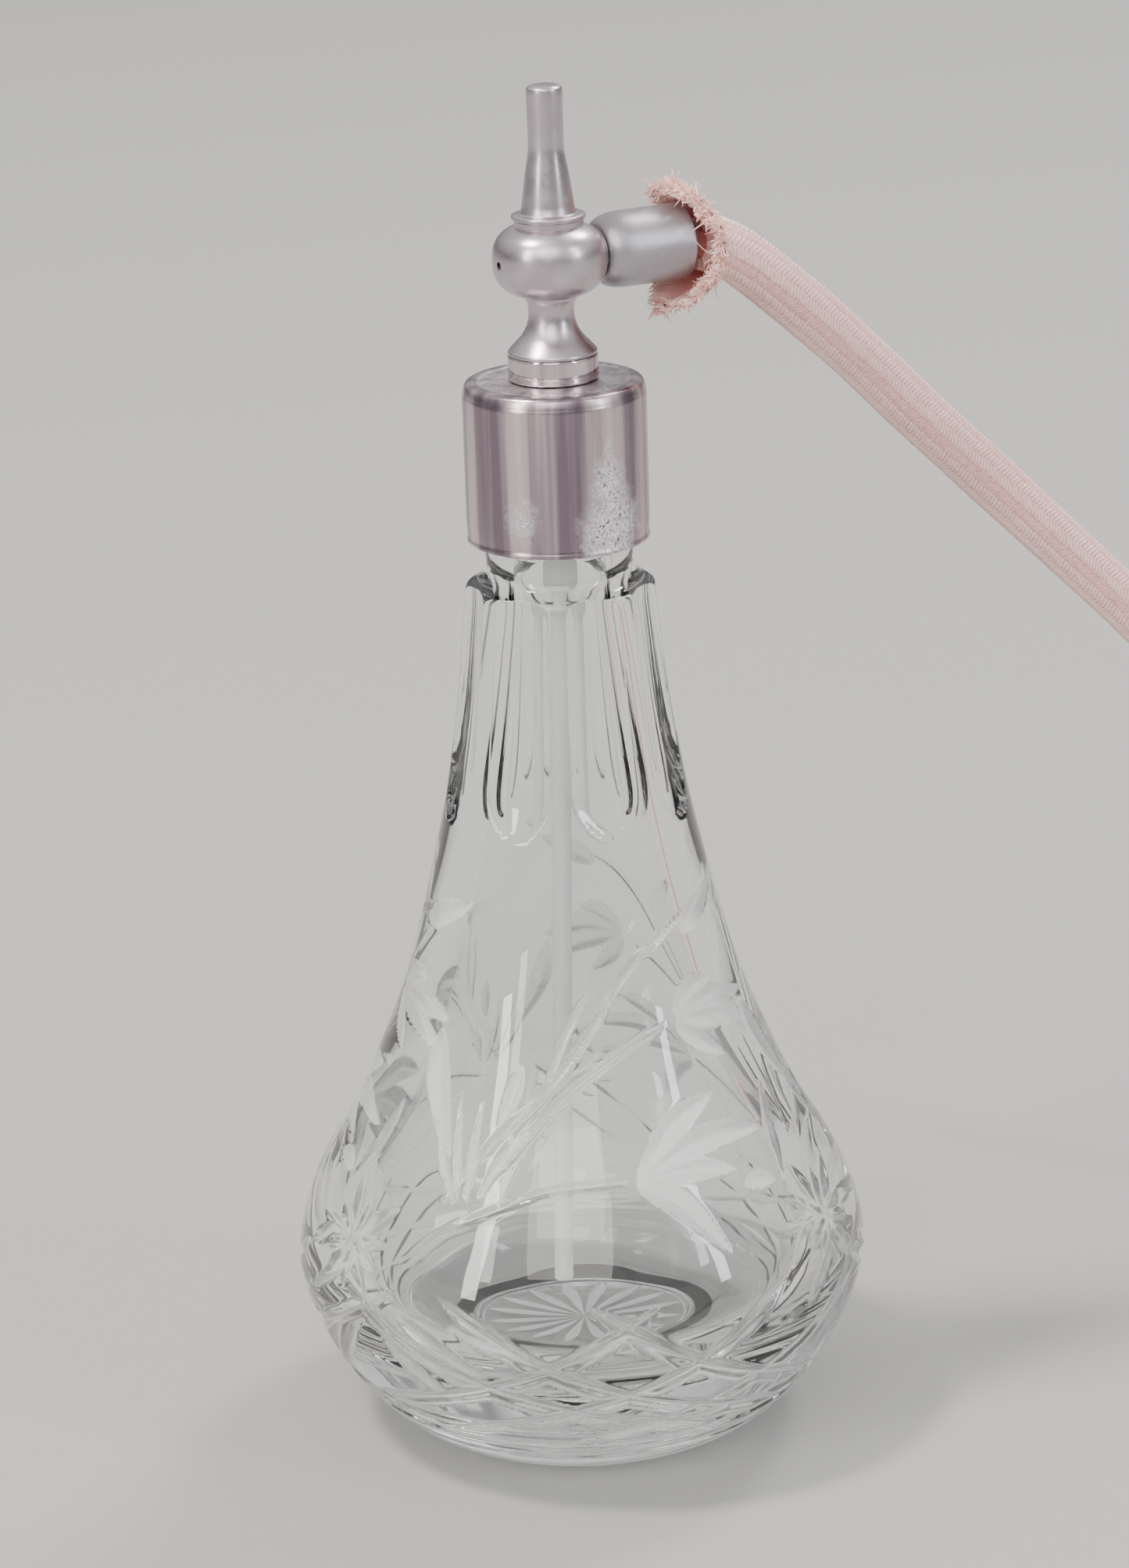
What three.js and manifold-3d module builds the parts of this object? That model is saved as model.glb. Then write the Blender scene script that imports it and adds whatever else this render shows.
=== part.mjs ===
// Perfume atomiser with a squeeze bulb: a cut-glass bottle with a screw-on metal head, a dip tube,
// and a braided hose that leads to a net-covered rubber bulb with a tassel.
// Millimetres, +Z up. The origin is the centre of the bottle's foot. The barrel points along +X.
import * as THREE from 'three';
import { mergeVertices } from 'three/addons/utils/BufferGeometryUtils.js';
import Module from 'manifold-3d';

const wasm = await Module();
wasm.setup();

// ---- driving dimensions ----
const FOOT_RADIUS = 19.5;          // flat ring that the bottle stands on
const STAR_RADIUS = 14.5;          // star-cut hollow inside the foot ring
const STAR_DEPTH = 1.6;
const WIDEST_RADIUS = 35.5;
const WIDEST_Z = 21.8;
const SHOULDER_Z = 107.9;          // top of the fluted body
const SHOULDER_RADIUS = 11.4;
const GLASS_SPLIT_Z = 44;          // the glass is one piece, held as two solids to keep it open
const NECK_RADIUS = 8.9;           // glass neck seen under the collar
const NECK_STEP_Z = 113.0;         // the neck narrows here to take the ferrule
const NECK_TOP_Z = 127.6;
const NECK_TENON_RADIUS = 8.2;
const NECK_BORE_RADIUS = 5.6;
const FLUTE_COUNT = 8;
const FLUTE_RADIUS = 6.0;
const FLUTE_DEPTH = 1.0;
const FLUTE_END_Z = 79;
const FLUTE_PHASE = THREE.MathUtils.degToRad(36.5);

const FERRULE_RADIUS = 9.1;
const FERRULE_TOP_Z = 128.2;
const THREAD_PITCH = 1.5;
const THREAD_TURNS = 3;
const THREAD_RIDGE = 0.4;          // radius of a thread ridge
const THREAD_STEPS = 14 * THREAD_TURNS;
const COLLAR_RADIUS = 11.0;
const COLLAR_BORE_RADIUS = 10.3;
const COLLAR_BOTTOM_Z = 113.2;
const COLLAR_TOP_Z = 132.6;
const COLLAR_TOP_WALL = 1.1;
const SHANK_RADIUS = 3.4;          // head's shank through the collar's top
const TURN_GAP = 0.3;              // clearance round whatever turns or slides

const BALL_Z = 147;                // centre of the ball and of the barrel
const BALL_RADIUS = 6.8;
const BALL_HALF_HEIGHT = 4.6;
const BALL_FULLNESS = 0.76;        // below 1 the ball is plumper than an ellipsoid
const SPIKE_TOP_Z = 167.6;
const AIR_BORE_RADIUS = 1.7;
const BARREL_RADIUS = 4.55;
const BARREL_START_X = 6.6;
const BARREL_END_X = 17.8;

const DIP_TUBE_RADIUS = 1.2;
const DIP_TUBE_BORE = 0.7;
const DIP_TUBE_LENGTH = 93;
const PLUG_BOTTOM_Z = 104.2;
const DIP_TUBE_LEAN = THREE.MathUtils.degToRad(1.5);
const DIP_TUBE_LEAN_AZIMUTH = THREE.MathUtils.degToRad(152);

const HOSE_RADIUS = 3.25;          // over the braid
const BRAID_INNER_RADIUS = 2.8;
const RUBBER_RADIUS = 2.0;
const RUBBER_BORE = 1.0;
const HOSE_STEPS = 32;

const BULB_RADIUS = 18.4;          // rubber, without its net
const BULB_HALF_LENGTH = 26;
const BULB_WALL = 1.8;
const NET_GAP = 0.3;
const NET_THICKNESS = 0.8;
const BULB_AXIS_Z = BULB_RADIUS + NET_GAP + NET_THICKNESS;
const BULB_NECK_RADIUS = 4.6;
const SPLIT_GAP = 0.3;             // between the two halves of the bulb
const VALVE_BALL_RADIUS = 1.5;
const TASSEL_LENGTH = 48;
const TASSEL_DROOP = THREE.MathUtils.degToRad(12.5);

// The hose's centre line from inside the barrel to the bulb's ferrule.
const HOSE_ROUTE = [
  [10, 0, 147], [14, 0, 147], [17.6, 0, 147], [21, 0, 146.4], [24.4, 0.1, 144.9], [28, 0.4, 142.4],
  [32, 1, 139.2], [37.2, 2, 135], [45.5, 4, 127.9], [54.5, 5.8, 119.7], [64, 6.9, 111.1], [75.5, 7.2, 100.3],
  [87.8, 6.6, 88.4], [97, 4.6, 78.2], [105, 1.2, 67.5], [112, -3.6, 56], [118, -9.6, 44.2],
  [123, -17, 32.4], [127.2, -26, 21.4], [130.6, -36.4, 12], [133.4, -48, 5.8], [135.6, -60, 3.5],
  [137.2, -71.6, 4.8], [138.3, -82, 9], [138.8, -92, 14.2], [139, -102, 18.2], [139, -109.5, 19.5],
  [139, -113, 19.5], [139, -117, BULB_AXIS_Z],
].map((point) => new THREE.Vector3(...point));
const BULB_START = HOSE_ROUTE[HOSE_ROUTE.length - 1];

// ---- finishes ----
const glass = { color: 0xf0f5f2, roughness: 0.05, metalness: 0 };
const nickel = { color: 0xa7a3a6, roughness: 0.35, metalness: 1 };
const chrome = { color: 0xb5aeb2, roughness: 0.15, metalness: 1 };
const brass = { color: 0xb08d57, roughness: 0.35, metalness: 1 };
const clearPlastic = { color: 0xe4e8e4, roughness: 0.4, metalness: 0 };
const rubber = { color: 0xb4706a, roughness: 0.8, metalness: 0 };
const braid = { color: 0xe3b5ae, roughness: 0.95, metalness: 0 };
const steel = { color: 0xc9ccd0, roughness: 0.2, metalness: 1 };

const object = new THREE.Group();

function addMesh(name, geometry, finish, parent = object) {
  const mesh = new THREE.Mesh(geometry, new THREE.MeshStandardMaterial(finish));
  mesh.name = name;
  parent.add(mesh);
  return mesh;
}

// ---- solids ----

// A turned solid about +Z from [radius, z] points; the outline starts and ends on the axis or closes.
function turned(points, segments = 32) {
  const outline = points.map(([radius, z]) => new THREE.Vector2(radius, z));
  return new THREE.LatheGeometry(outline, segments).rotateX(Math.PI / 2);
}

// The same about +X, from [radius, x] points.
function turnedAlongX(points, segments = 32) {
  return turned(points, segments).rotateY(Math.PI / 2);
}

function toManifold(geometry) {
  const bare = geometry.clone();
  bare.deleteAttribute('normal');
  bare.deleteAttribute('uv');
  const merged = mergeVertices(bare, 1e-4);
  const kept = [];
  for (let i = 0; i < merged.index.count; i += 3) {
    const [a, b, c] = [merged.index.getX(i), merged.index.getX(i + 1), merged.index.getX(i + 2)];
    if (a !== b && b !== c && c !== a) kept.push(a, b, c);
  }
  return new wasm.Manifold(new wasm.Mesh({
    numProp: 3,
    vertProperties: new Float32Array(merged.attributes.position.array),
    triVerts: new Uint32Array(kept),
  }));
}

function toGeometry(manifold) {
  const mesh = manifold.getMesh();
  const geometry = new THREE.BufferGeometry();
  geometry.setAttribute('position', new THREE.BufferAttribute(new Float32Array(mesh.vertProperties), 3));
  geometry.setIndex(new THREE.BufferAttribute(new Uint32Array(mesh.triVerts), 1));
  geometry.computeVertexNormals();
  return geometry;
}

function cylinderAlongX(radius, x0, x1, z, segments = 16) {
  return new THREE.CylinderGeometry(radius, radius, x1 - x0, segments)
    .rotateZ(-Math.PI / 2)
    .translate((x0 + x1) / 2, 0, z);
}

function cylinderAlongZ(radius, z0, z1, segments = 16) {
  return new THREE.CylinderGeometry(radius, radius, z1 - z0, segments)
    .rotateX(Math.PI / 2)
    .translate(0, 0, (z0 + z1) / 2);
}

// A quarter or part of an ellipse as outline points, from angle a0 to a1 in degrees.
function arc(centreR, centreZ, radiusR, radiusZ, a0, a1, steps) {
  const points = [];
  for (let i = 0; i <= steps; i += 1) {
    const angle = THREE.MathUtils.degToRad(a0 + (a1 - a0) * i / steps);
    points.push([centreR + radiusR * Math.cos(angle), centreZ + radiusZ * Math.sin(angle)]);
  }
  return points;
}

class Helix extends THREE.Curve {
  constructor(radius, bottomZ, turns) {
    super();
    Object.assign(this, { radius, bottomZ, turns });
  }

  getPoint(t, target = new THREE.Vector3()) {
    const angle = t * this.turns * 2 * Math.PI;
    return target.set(
      this.radius * Math.cos(angle),
      this.radius * Math.sin(angle),
      this.bottomZ + t * this.turns * THREAD_PITCH,
    );
  }
}

// A tube of the given radii along a path; an inner radius of 0 makes a rod.
function tube(path, outer, inner, sides, steps) {
  const shape = new THREE.Shape();
  shape.absarc(0, 0, outer, 0, 2 * Math.PI, false);
  if (inner > 0) {
    const hole = new THREE.Path();
    hole.absarc(0, 0, inner, 0, 2 * Math.PI, true);
    shape.holes.push(hole);
  }
  return new THREE.ExtrudeGeometry(shape, {
    extrudePath: path, steps, curveSegments: sides / 2, bevelEnabled: false,
  });
}

// ---- bottle ----

// Outside radius of the uncut body at a height between the widest circle and the shoulder.
function bodyOutline() {
  const lower = [];
  const steps = 6;
  const fullness = 1.55;
  for (let i = 0; i <= steps; i += 1) {
    const angle = (Math.PI / 2) * i / steps;
    const out = Math.sin(angle) ** (2 / fullness);
    const down = Math.cos(angle) ** (2 / fullness);
    lower.push([FOOT_RADIUS + (WIDEST_RADIUS - FOOT_RADIUS) * out, WIDEST_Z * (1 - down)]);
  }
  const upper = [
    [34.8, 26.5], [33.3, 30.8], [31.0, 35.3], [27.5, 41.3], [23.8, 49.6], [20.6, 57.9],
    [17.6, 69], [14.6, 82.3], [12.8, 94.2], [12.0, 102.1],
    [SHOULDER_RADIUS + 0.2, 106.6], [SHOULDER_RADIUS - 0.4, SHOULDER_Z],
  ];
  return [...lower, ...upper];
}

function glassBottle() {
  const outside = [
    [0, STAR_DEPTH], [STAR_RADIUS, STAR_DEPTH * 0.6], [STAR_RADIUS + 1.2, 0],
    ...bodyOutline(),
    [NECK_RADIUS, SHOULDER_Z + 1], [NECK_RADIUS, NECK_STEP_Z - 0.4],
    [NECK_TENON_RADIUS, NECK_STEP_Z], [NECK_TENON_RADIUS, NECK_TOP_Z],
  ];
  const inside = [
    [NECK_BORE_RADIUS, NECK_TOP_Z], [NECK_BORE_RADIUS, 108], [6.8, 98], [9.4, 80], [13.2, 63],
    [19.5, 44], [25.6, 32], [28.4, 24], [26.5, 18], [19, 14], [0, 12.2],
  ];
  let body = toManifold(turned([...outside, ...inside], 40));
  const top = new THREE.Vector3(SHOULDER_RADIUS + FLUTE_RADIUS - FLUTE_DEPTH, 0, SHOULDER_Z + 8);
  const end = new THREE.Vector3(15.5 + FLUTE_RADIUS - FLUTE_DEPTH * 0.9, 0, FLUTE_END_Z);
  for (let i = 0; i < FLUTE_COUNT; i += 1) {
    const length = top.distanceTo(end);
    const cutter = new THREE.CapsuleGeometry(FLUTE_RADIUS, length, 3, 12)
      .translate(0, length / 2, 0);
    const aim = new THREE.Quaternion().setFromUnitVectors(
      new THREE.Vector3(0, 1, 0),
      top.clone().sub(end).normalize(),
    );
    cutter.applyQuaternion(aim).translate(end.x, 0, end.z);
    cutter.rotateZ(FLUTE_PHASE + i * 2 * Math.PI / FLUTE_COUNT);
    body = body.subtract(toManifold(cutter));
  }
  return body.splitByPlane([0, 0, 1], GLASS_SPLIT_Z);
}

const [glassUpper, glassLower] = glassBottle();
addMesh('glass_bottle_lower', toGeometry(glassLower), glass);
addMesh('glass_bottle_upper', toGeometry(glassUpper), glass);

function neckFerrule() {
  const sleeve = toManifold(turned([
    [NECK_TENON_RADIUS + 0.15, NECK_STEP_Z + 0.5], [FERRULE_RADIUS, NECK_STEP_Z + 0.5],
    [FERRULE_RADIUS, FERRULE_TOP_Z - 0.3], [FERRULE_RADIUS - 0.3, FERRULE_TOP_Z],
    [NECK_BORE_RADIUS + 0.4, FERRULE_TOP_Z], [NECK_BORE_RADIUS + 0.4, NECK_TOP_Z + 0.15],
    [NECK_TENON_RADIUS + 0.15, NECK_TOP_Z + 0.15], [NECK_TENON_RADIUS + 0.15, NECK_STEP_Z + 0.5],
  ], 28));
  const ridge = new Helix(FERRULE_RADIUS, 118, THREAD_TURNS);
  return toGeometry(sleeve.add(toManifold(tube(ridge, THREAD_RIDGE, 0, 4, THREAD_STEPS))));
}

addMesh('neck_ferrule', neckFerrule(), brass);

// ---- screw collar ----

function screwCollar() {
  const edge = 1.5;
  const shell = toManifold(turned([
    [SHANK_RADIUS + TURN_GAP, COLLAR_TOP_Z - COLLAR_TOP_WALL],
    [COLLAR_BORE_RADIUS - 0.4, COLLAR_TOP_Z - COLLAR_TOP_WALL],
    [COLLAR_BORE_RADIUS, COLLAR_TOP_Z - COLLAR_TOP_WALL - 0.4],
    [COLLAR_BORE_RADIUS, COLLAR_BOTTOM_Z],
    ...arc(COLLAR_RADIUS - 0.4, COLLAR_BOTTOM_Z + 0.5, 0.5, 0.5, -90, 60, 3),
    [COLLAR_RADIUS - 0.15, COLLAR_BOTTOM_Z + 1.2],
    ...arc(COLLAR_RADIUS - edge, COLLAR_TOP_Z - edge, edge, edge, 0, 80, 4),
    [COLLAR_RADIUS - edge - 0.4, COLLAR_TOP_Z],
    [SHANK_RADIUS + TURN_GAP, COLLAR_TOP_Z],
    [SHANK_RADIUS + TURN_GAP, COLLAR_TOP_Z - COLLAR_TOP_WALL],
  ], 28));
  const ridge = new Helix(COLLAR_BORE_RADIUS, 117.4, THREAD_TURNS);
  const inner = tube(ridge, THREAD_RIDGE - 0.1, 0, 4, THREAD_STEPS);
  return toGeometry(shell.add(toManifold(inner)));
}

addMesh('screw_collar', screwCollar(), chrome);

// ---- head ----

const FLANGE_TOP_Z = COLLAR_TOP_Z - COLLAR_TOP_WALL - 0.3;
const FLANGE_BOTTOM_Z = FLANGE_TOP_Z - 1.2;
const RING_BOTTOM_Z = COLLAR_TOP_Z + TURN_GAP;
const RING_TOP_Z = 135.7;
const SHANK_BORE = 1.4;
const SHANK_BOTTOM_Z = FLANGE_BOTTOM_Z - 3;

// Sits on the ferrule under the flange and stays on the bottle when the head rises.
addMesh('seal_washer', turned([
  [SHANK_RADIUS + 0.3, FERRULE_TOP_Z], [8.6, FERRULE_TOP_Z], [8.6, FLANGE_BOTTOM_Z],
  [SHANK_RADIUS + 0.3, FLANGE_BOTTOM_Z], [SHANK_RADIUS + 0.3, FERRULE_TOP_Z],
], 24), rubber);

// The flange is screwed on the shank, and holds the collar captive.
addMesh('head_flange', turned([
  [SHANK_BORE + 1.3, FLANGE_BOTTOM_Z], [8.8, FLANGE_BOTTOM_Z], [8.8, FLANGE_TOP_Z],
  [SHANK_BORE + 1.3, FLANGE_TOP_Z], [SHANK_BORE + 1.3, FLANGE_BOTTOM_Z],
], 20), brass);

addMesh('pedestal_ring', turned([
  [3.3, RING_BOTTOM_Z], [5.25, RING_BOTTOM_Z], [5.38, RING_BOTTOM_Z + 0.2],
  [5.38, RING_TOP_Z - 0.2], [5.25, RING_TOP_Z - 0.05], [3.3, RING_TOP_Z - 0.05],
  [3.3, RING_BOTTOM_Z],
], 24), chrome);

const ballBottomZ = BALL_Z - BALL_HALF_HEIGHT;

addMesh('pedestal_stem', turned([
  [SHANK_BORE, SHANK_BOTTOM_Z], [2.5, SHANK_BOTTOM_Z], [2.5, FLANGE_TOP_Z + 0.2],
  [3.1, FLANGE_TOP_Z + 0.2], [3.1, RING_TOP_Z + 0.1], [5.3, RING_TOP_Z + 0.1],
  [5.3, 136.1], [4.55, 136.9], [3.65, 137.8], [3.05, 138.7], [2.75, 139.8], [2.7, 140.6],
  [2.78, 141.5], [3.0, ballBottomZ], [3.0, ballBottomZ + 0.45],
  [2.2, ballBottomZ + 0.45], [2.2, 144.6], [SHANK_BORE, 144.6], [SHANK_BORE, SHANK_BOTTOM_Z],
], 20), nickel);

function ballHead() {
  const profile = arc(0, 0, 1, 1, -90, 90, 12).map(([out, up]) => [
    BALL_RADIUS * Math.abs(out) ** BALL_FULLNESS,
    BALL_Z + BALL_HALF_HEIGHT * Math.sign(up) * Math.abs(up) ** BALL_FULLNESS,
  ]);
  profile[0][0] = 0;
  profile[profile.length - 1][0] = 0;
  let ball = toManifold(turned(profile, 28));
  const stemSeat = cylinderAlongZ(3.3, ballBottomZ - 1, ballBottomZ + 0.75, 24);
  const stemBore = cylinderAlongZ(2.5, ballBottomZ - 1, 145, 16);
  const barrelSeat = cylinderAlongX(3.1, BALL_RADIUS - 3, BALL_RADIUS + 2, BALL_Z, 16);
  const spikeBore = cylinderAlongZ(1.9, BALL_Z + 2.9, BALL_Z + 6, 16);
  const airBore = cylinderAlongX(AIR_BORE_RADIUS, -BALL_RADIUS - 2, BALL_RADIUS, BALL_Z, 12);
  for (const cutter of [stemSeat, stemBore, barrelSeat, spikeBore, airBore]) {
    ball = ball.subtract(toManifold(cutter));
  }
  return toGeometry(ball);
}

addMesh('ball_head', ballHead(), nickel);

addMesh('finial_spike', turned([
  [0, BALL_Z + 3.2], [1.6, BALL_Z + 3.2], [1.6, 151.65], [4.2, 151.65], [4.45, 152.0],
  [4.3, 152.5], [3.4, 152.8], [3.15, 153.6], [2.7, 156], [2.3, 158.2], [2.14, 160],
  [2.14, SPIKE_TOP_Z - 0.5], [1.5, SPIKE_TOP_Z], [0, SPIKE_TOP_Z],
], 20), nickel);

// Orifice insert opposite the barrel; the spray leaves along -X.
addMesh('spray_nozzle', turnedAlongX([
  [0.28, -6.72], [0.9, -6.66], [1.4, -6.5], [1.4, -4.4], [0.7, -4.4], [0.7, -5.4],
  [0.28, -5.9], [0.28, -6.72],
], 12).translate(0, 0, BALL_Z), nickel);

addMesh('air_jet_tube', turnedAlongX([
  [0.5, -3.9], [0.8, -3.9], [1.3, -2.4], [1.3, 3.4], [0.8, 3.4], [0.8, -2.2], [0.5, -3.4],
  [0.5, -3.9],
], 12).translate(0, 0, BALL_Z), brass);

addMesh('barrel_connector', turnedAlongX([
  [1.0, 4.2], [2.7, 4.2], [2.7, BARREL_START_X], [3.5, BARREL_START_X + 0.25],
  [4.1, BARREL_START_X + 0.8], [4.45, BARREL_START_X + 1.6], [BARREL_RADIUS, BARREL_START_X + 2.6],
  [BARREL_RADIUS, BARREL_END_X - 0.3], [BARREL_RADIUS - 0.25, BARREL_END_X],
  [2.9, BARREL_END_X], [2.9, 9.2], [1.0, 9.2], [1.0, 4.2],
], 24).translate(0, 0, BALL_Z), nickel);

addMesh('hose_nipple', turnedAlongX([
  [0.4, 9.3], [2.4, 9.3], [2.4, 9.9], [0.8, 9.9], [0.8, 16.5], [0.4, 16.5], [0.4, 9.3],
], 12).translate(0, 0, BALL_Z), brass);

// ---- dip tube ----

// Socket that hangs from the shank; the dip tube is pushed in its lower end.
addMesh('dip_tube_plug', turned([
  [1.6, PLUG_BOTTOM_Z], [1.9, PLUG_BOTTOM_Z], [2.1, PLUG_BOTTOM_Z + 3], [2.1, SHANK_BOTTOM_Z - 0.3],
  [0.9, SHANK_BOTTOM_Z - 0.3], [0.9, PLUG_BOTTOM_Z + 6], [1.6, PLUG_BOTTOM_Z + 5.4],
  [1.6, PLUG_BOTTOM_Z],
], 14), clearPlastic);

// The tube leans a little in its socket.
const dipTube = addMesh('dip_tube', turned([
  [DIP_TUBE_BORE, -DIP_TUBE_LENGTH], [DIP_TUBE_RADIUS, -DIP_TUBE_LENGTH], [DIP_TUBE_RADIUS, 0],
  [DIP_TUBE_BORE, 0], [DIP_TUBE_BORE, -DIP_TUBE_LENGTH],
], 14), clearPlastic);
dipTube.position.z = PLUG_BOTTOM_Z + 4.5;
dipTube.rotation.set(0, -DIP_TUBE_LEAN, DIP_TUBE_LEAN_AZIMUTH, 'ZYX');

// ---- hose ----

const hosePath = new THREE.CatmullRomCurve3(HOSE_ROUTE, false, 'centripetal');

// The part of the route from a distance along it to its end.
function routeFrom(start) {
  const length = hosePath.getLength();
  const points = [];
  for (let i = 0; i <= HOSE_STEPS; i += 1) {
    points.push(hosePath.getPointAt((start + (length - start) * i / HOSE_STEPS) / length));
  }
  return new THREE.CatmullRomCurve3(points, false, 'centripetal');
}

const FRAY_BORE = BARREL_RADIUS + 0.35;
const braidStart = BARREL_END_X + 2.2 - HOSE_ROUTE[0].x;

addMesh('rubber_hose', tube(hosePath, RUBBER_RADIUS, RUBBER_BORE, 8, HOSE_STEPS), rubber);
addMesh('hose_braid', tube(routeFrom(braidStart), HOSE_RADIUS, BRAID_INNER_RADIUS, 12, HOSE_STEPS), braid);

// Cut end of the braid, teased out round the barrel's mouth.
addMesh('frayed_braid_end', turnedAlongX([
  [FRAY_BORE, 16.0], [6.4, 15.6], [7.3, 16.6], [7.5, 18.4], [6.6, 20.4], [5.4, 21.8],
  [FRAY_BORE, 21.8], [FRAY_BORE, 16.0],
], 18).translate(0, 0, BALL_Z), braid);

// ---- bulb ----

// Local +X runs from the hose end to the tassel; local +Z is up.
const bulb = new THREE.Group();
bulb.position.copy(BULB_START);
bulb.rotation.z = -Math.PI / 2;
object.add(bulb);

const bulbCentre = BULB_HALF_LENGTH + 6;
const bulbEnd = bulbCentre + BULB_HALF_LENGTH;

// A hollow egg about +X, open at both necks, whose outside is grown by `grow`.
function hollowEgg(grow, wall) {
  const outer = arc(bulbCentre, 0, BULB_HALF_LENGTH + grow, BULB_RADIUS + grow, 0, 180, 10);
  const inner = arc(bulbCentre, 0, BULB_HALF_LENGTH + grow - wall, BULB_RADIUS + grow - wall, 180, 0, 10);
  const neck = BULB_NECK_RADIUS + grow;
  const bore = neck - wall;
  const outside = outer.filter(([, r]) => r > neck + 0.6).map(([x, r]) => [r, x]);
  const inside = inner.filter(([, r]) => r > bore + 0.6).map(([x, r]) => [r, x]);
  return turnedAlongX([
    [neck, bulbEnd + 1.5], ...outside, [neck, bulbCentre - BULB_HALF_LENGTH - 1.5],
    [bore, bulbCentre - BULB_HALF_LENGTH - 1.5], ...inside, [bore, bulbEnd + 1.5],
    [neck, bulbEnd + 1.5],
  ].reverse(), 20);
}

// One half of a solid about +X, above (side 1) or below (side -1) its axis.
function half(geometry, side) {
  const depth = 2 * BULB_RADIUS;
  const block = new THREE.BoxGeometry(4 * BULB_HALF_LENGTH, 2 * depth, depth)
    .translate(bulbCentre, 0, side * (depth + SPLIT_GAP) / 2);
  return toGeometry(toManifold(geometry).intersect(toManifold(block)));
}

addMesh('bulb_lower_half', half(hollowEgg(0, BULB_WALL), -1), rubber, bulb);
addMesh('bulb_upper_half', half(hollowEgg(0, BULB_WALL), 1), rubber, bulb);
const netGrowth = NET_GAP + NET_THICKNESS;
addMesh('net_cover_lower', half(hollowEgg(netGrowth, NET_THICKNESS), -1), braid, bulb);
addMesh('net_cover_upper', half(hollowEgg(netGrowth, NET_THICKNESS), 1), braid, bulb);

// Metal fitting between the hose and the bulb: a cup over the hose and a spigot in the bulb's neck.
addMesh('bulb_ferrule', turnedAlongX([
  [HOSE_RADIUS + 0.4, -5], [4.6, -5], [4.9, -4.4], [4.9, -0.2], [6.2, 0.3], [6.2, 1.6], [5.6, 2.2],
  [3.4, 2.6], [2.4, 3.2], [2.4, 9], [1.0, 9], [1.0, 0.4], [HOSE_RADIUS + 0.4, 0.4],
  [HOSE_RADIUS + 0.4, -5],
], 16), nickel, bulb);

// Check valve at the tail: air enters through the outer hole and lifts the ball off its seat.
const valveX = bulbEnd + 2;
addMesh('intake_valve_housing', turnedAlongX([
  [0.9, valveX - 6], [2.4, valveX - 6], [2.4, valveX + 0.2], [5.9, valveX + 0.6], [5.9, valveX + 1.8],
  [4.6, valveX + 2.4], [4.6, valveX + 7], [0.9, valveX + 7], [0.9, valveX + 6], [2.0, valveX + 4.9],
  [2.0, valveX + 0.4], [0.9, valveX - 0.8], [0.9, valveX - 6],
], 16), nickel, bulb);

addMesh(
  'intake_valve_ball',
  new THREE.SphereGeometry(VALVE_BALL_RADIUS, 12, 8).translate(valveX + 3.6, 0, 0),
  steel,
  bulb,
);

// ---- tassel ----

addMesh('tassel_binding', turnedAlongX([
  [4.9, valveX + 2.6], [6.0, valveX + 2.6], [6.6, valveX + 3.4], [6.6, valveX + 5.8],
  [6.0, valveX + 6.6], [4.9, valveX + 6.6], [4.9, valveX + 2.6],
], 16), braid, bulb);

// The skirt droops from the binding to the table.
const skirt = new THREE.Group();
skirt.position.x = valveX + 8.4;
skirt.rotation.y = TASSEL_DROOP;
bulb.add(skirt);
addMesh('tassel_skirt', turnedAlongX([
  [0, 0], [4.4, 0], [5.4, 4], [6.4, 14], [7.6, 30], [8.8, TASSEL_LENGTH], [0, TASSEL_LENGTH],
], 16), braid, skirt);

export default object;
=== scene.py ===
"""Perfume atomiser with a cut-glass bottle: its looks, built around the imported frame.

Lengths in the tables are millimetres and become metres in the mesh builders. +Z is up, the barrel
points along +X, and the camera stands at the front left of the barrel.
"""
import math

import bpy
import numpy as np
from mathutils import Matrix, Vector

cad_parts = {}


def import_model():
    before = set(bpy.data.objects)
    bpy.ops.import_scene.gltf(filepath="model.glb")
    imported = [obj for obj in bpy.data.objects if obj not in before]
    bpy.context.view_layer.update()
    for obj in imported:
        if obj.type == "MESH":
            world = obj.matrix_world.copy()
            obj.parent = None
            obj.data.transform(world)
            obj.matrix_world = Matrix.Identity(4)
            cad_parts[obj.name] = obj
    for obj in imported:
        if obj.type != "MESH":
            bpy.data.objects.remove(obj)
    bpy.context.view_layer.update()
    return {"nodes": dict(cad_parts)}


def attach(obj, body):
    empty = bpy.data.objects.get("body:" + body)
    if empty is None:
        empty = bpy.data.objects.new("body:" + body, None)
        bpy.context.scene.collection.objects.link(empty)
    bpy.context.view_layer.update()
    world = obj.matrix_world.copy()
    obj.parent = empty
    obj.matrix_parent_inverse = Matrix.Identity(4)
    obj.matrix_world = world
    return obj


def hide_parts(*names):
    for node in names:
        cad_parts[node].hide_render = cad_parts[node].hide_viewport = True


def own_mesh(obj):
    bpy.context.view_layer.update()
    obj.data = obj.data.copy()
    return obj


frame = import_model()

MM = 0.001
TAU = 2 * math.pi
rng = np.random.default_rng(7)

# ---- camera, at the photograph's viewing angle ----

VIEW_AZIMUTH = math.radians(-28)      # the camera's sideways direction, turned about +Z from +X
VIEW_PITCH = math.radians(18.1)       # looking down
VIEW_ROLL = math.radians(1.9)
VIEW_DISTANCE = 0.5436
VIEW_HEIGHT = 0.2596
VIEW_SHIFT = -0.0003                  # sideways, along the camera's right
LENS_MM = 107.6
SENSOR_MM = 36.0


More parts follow.
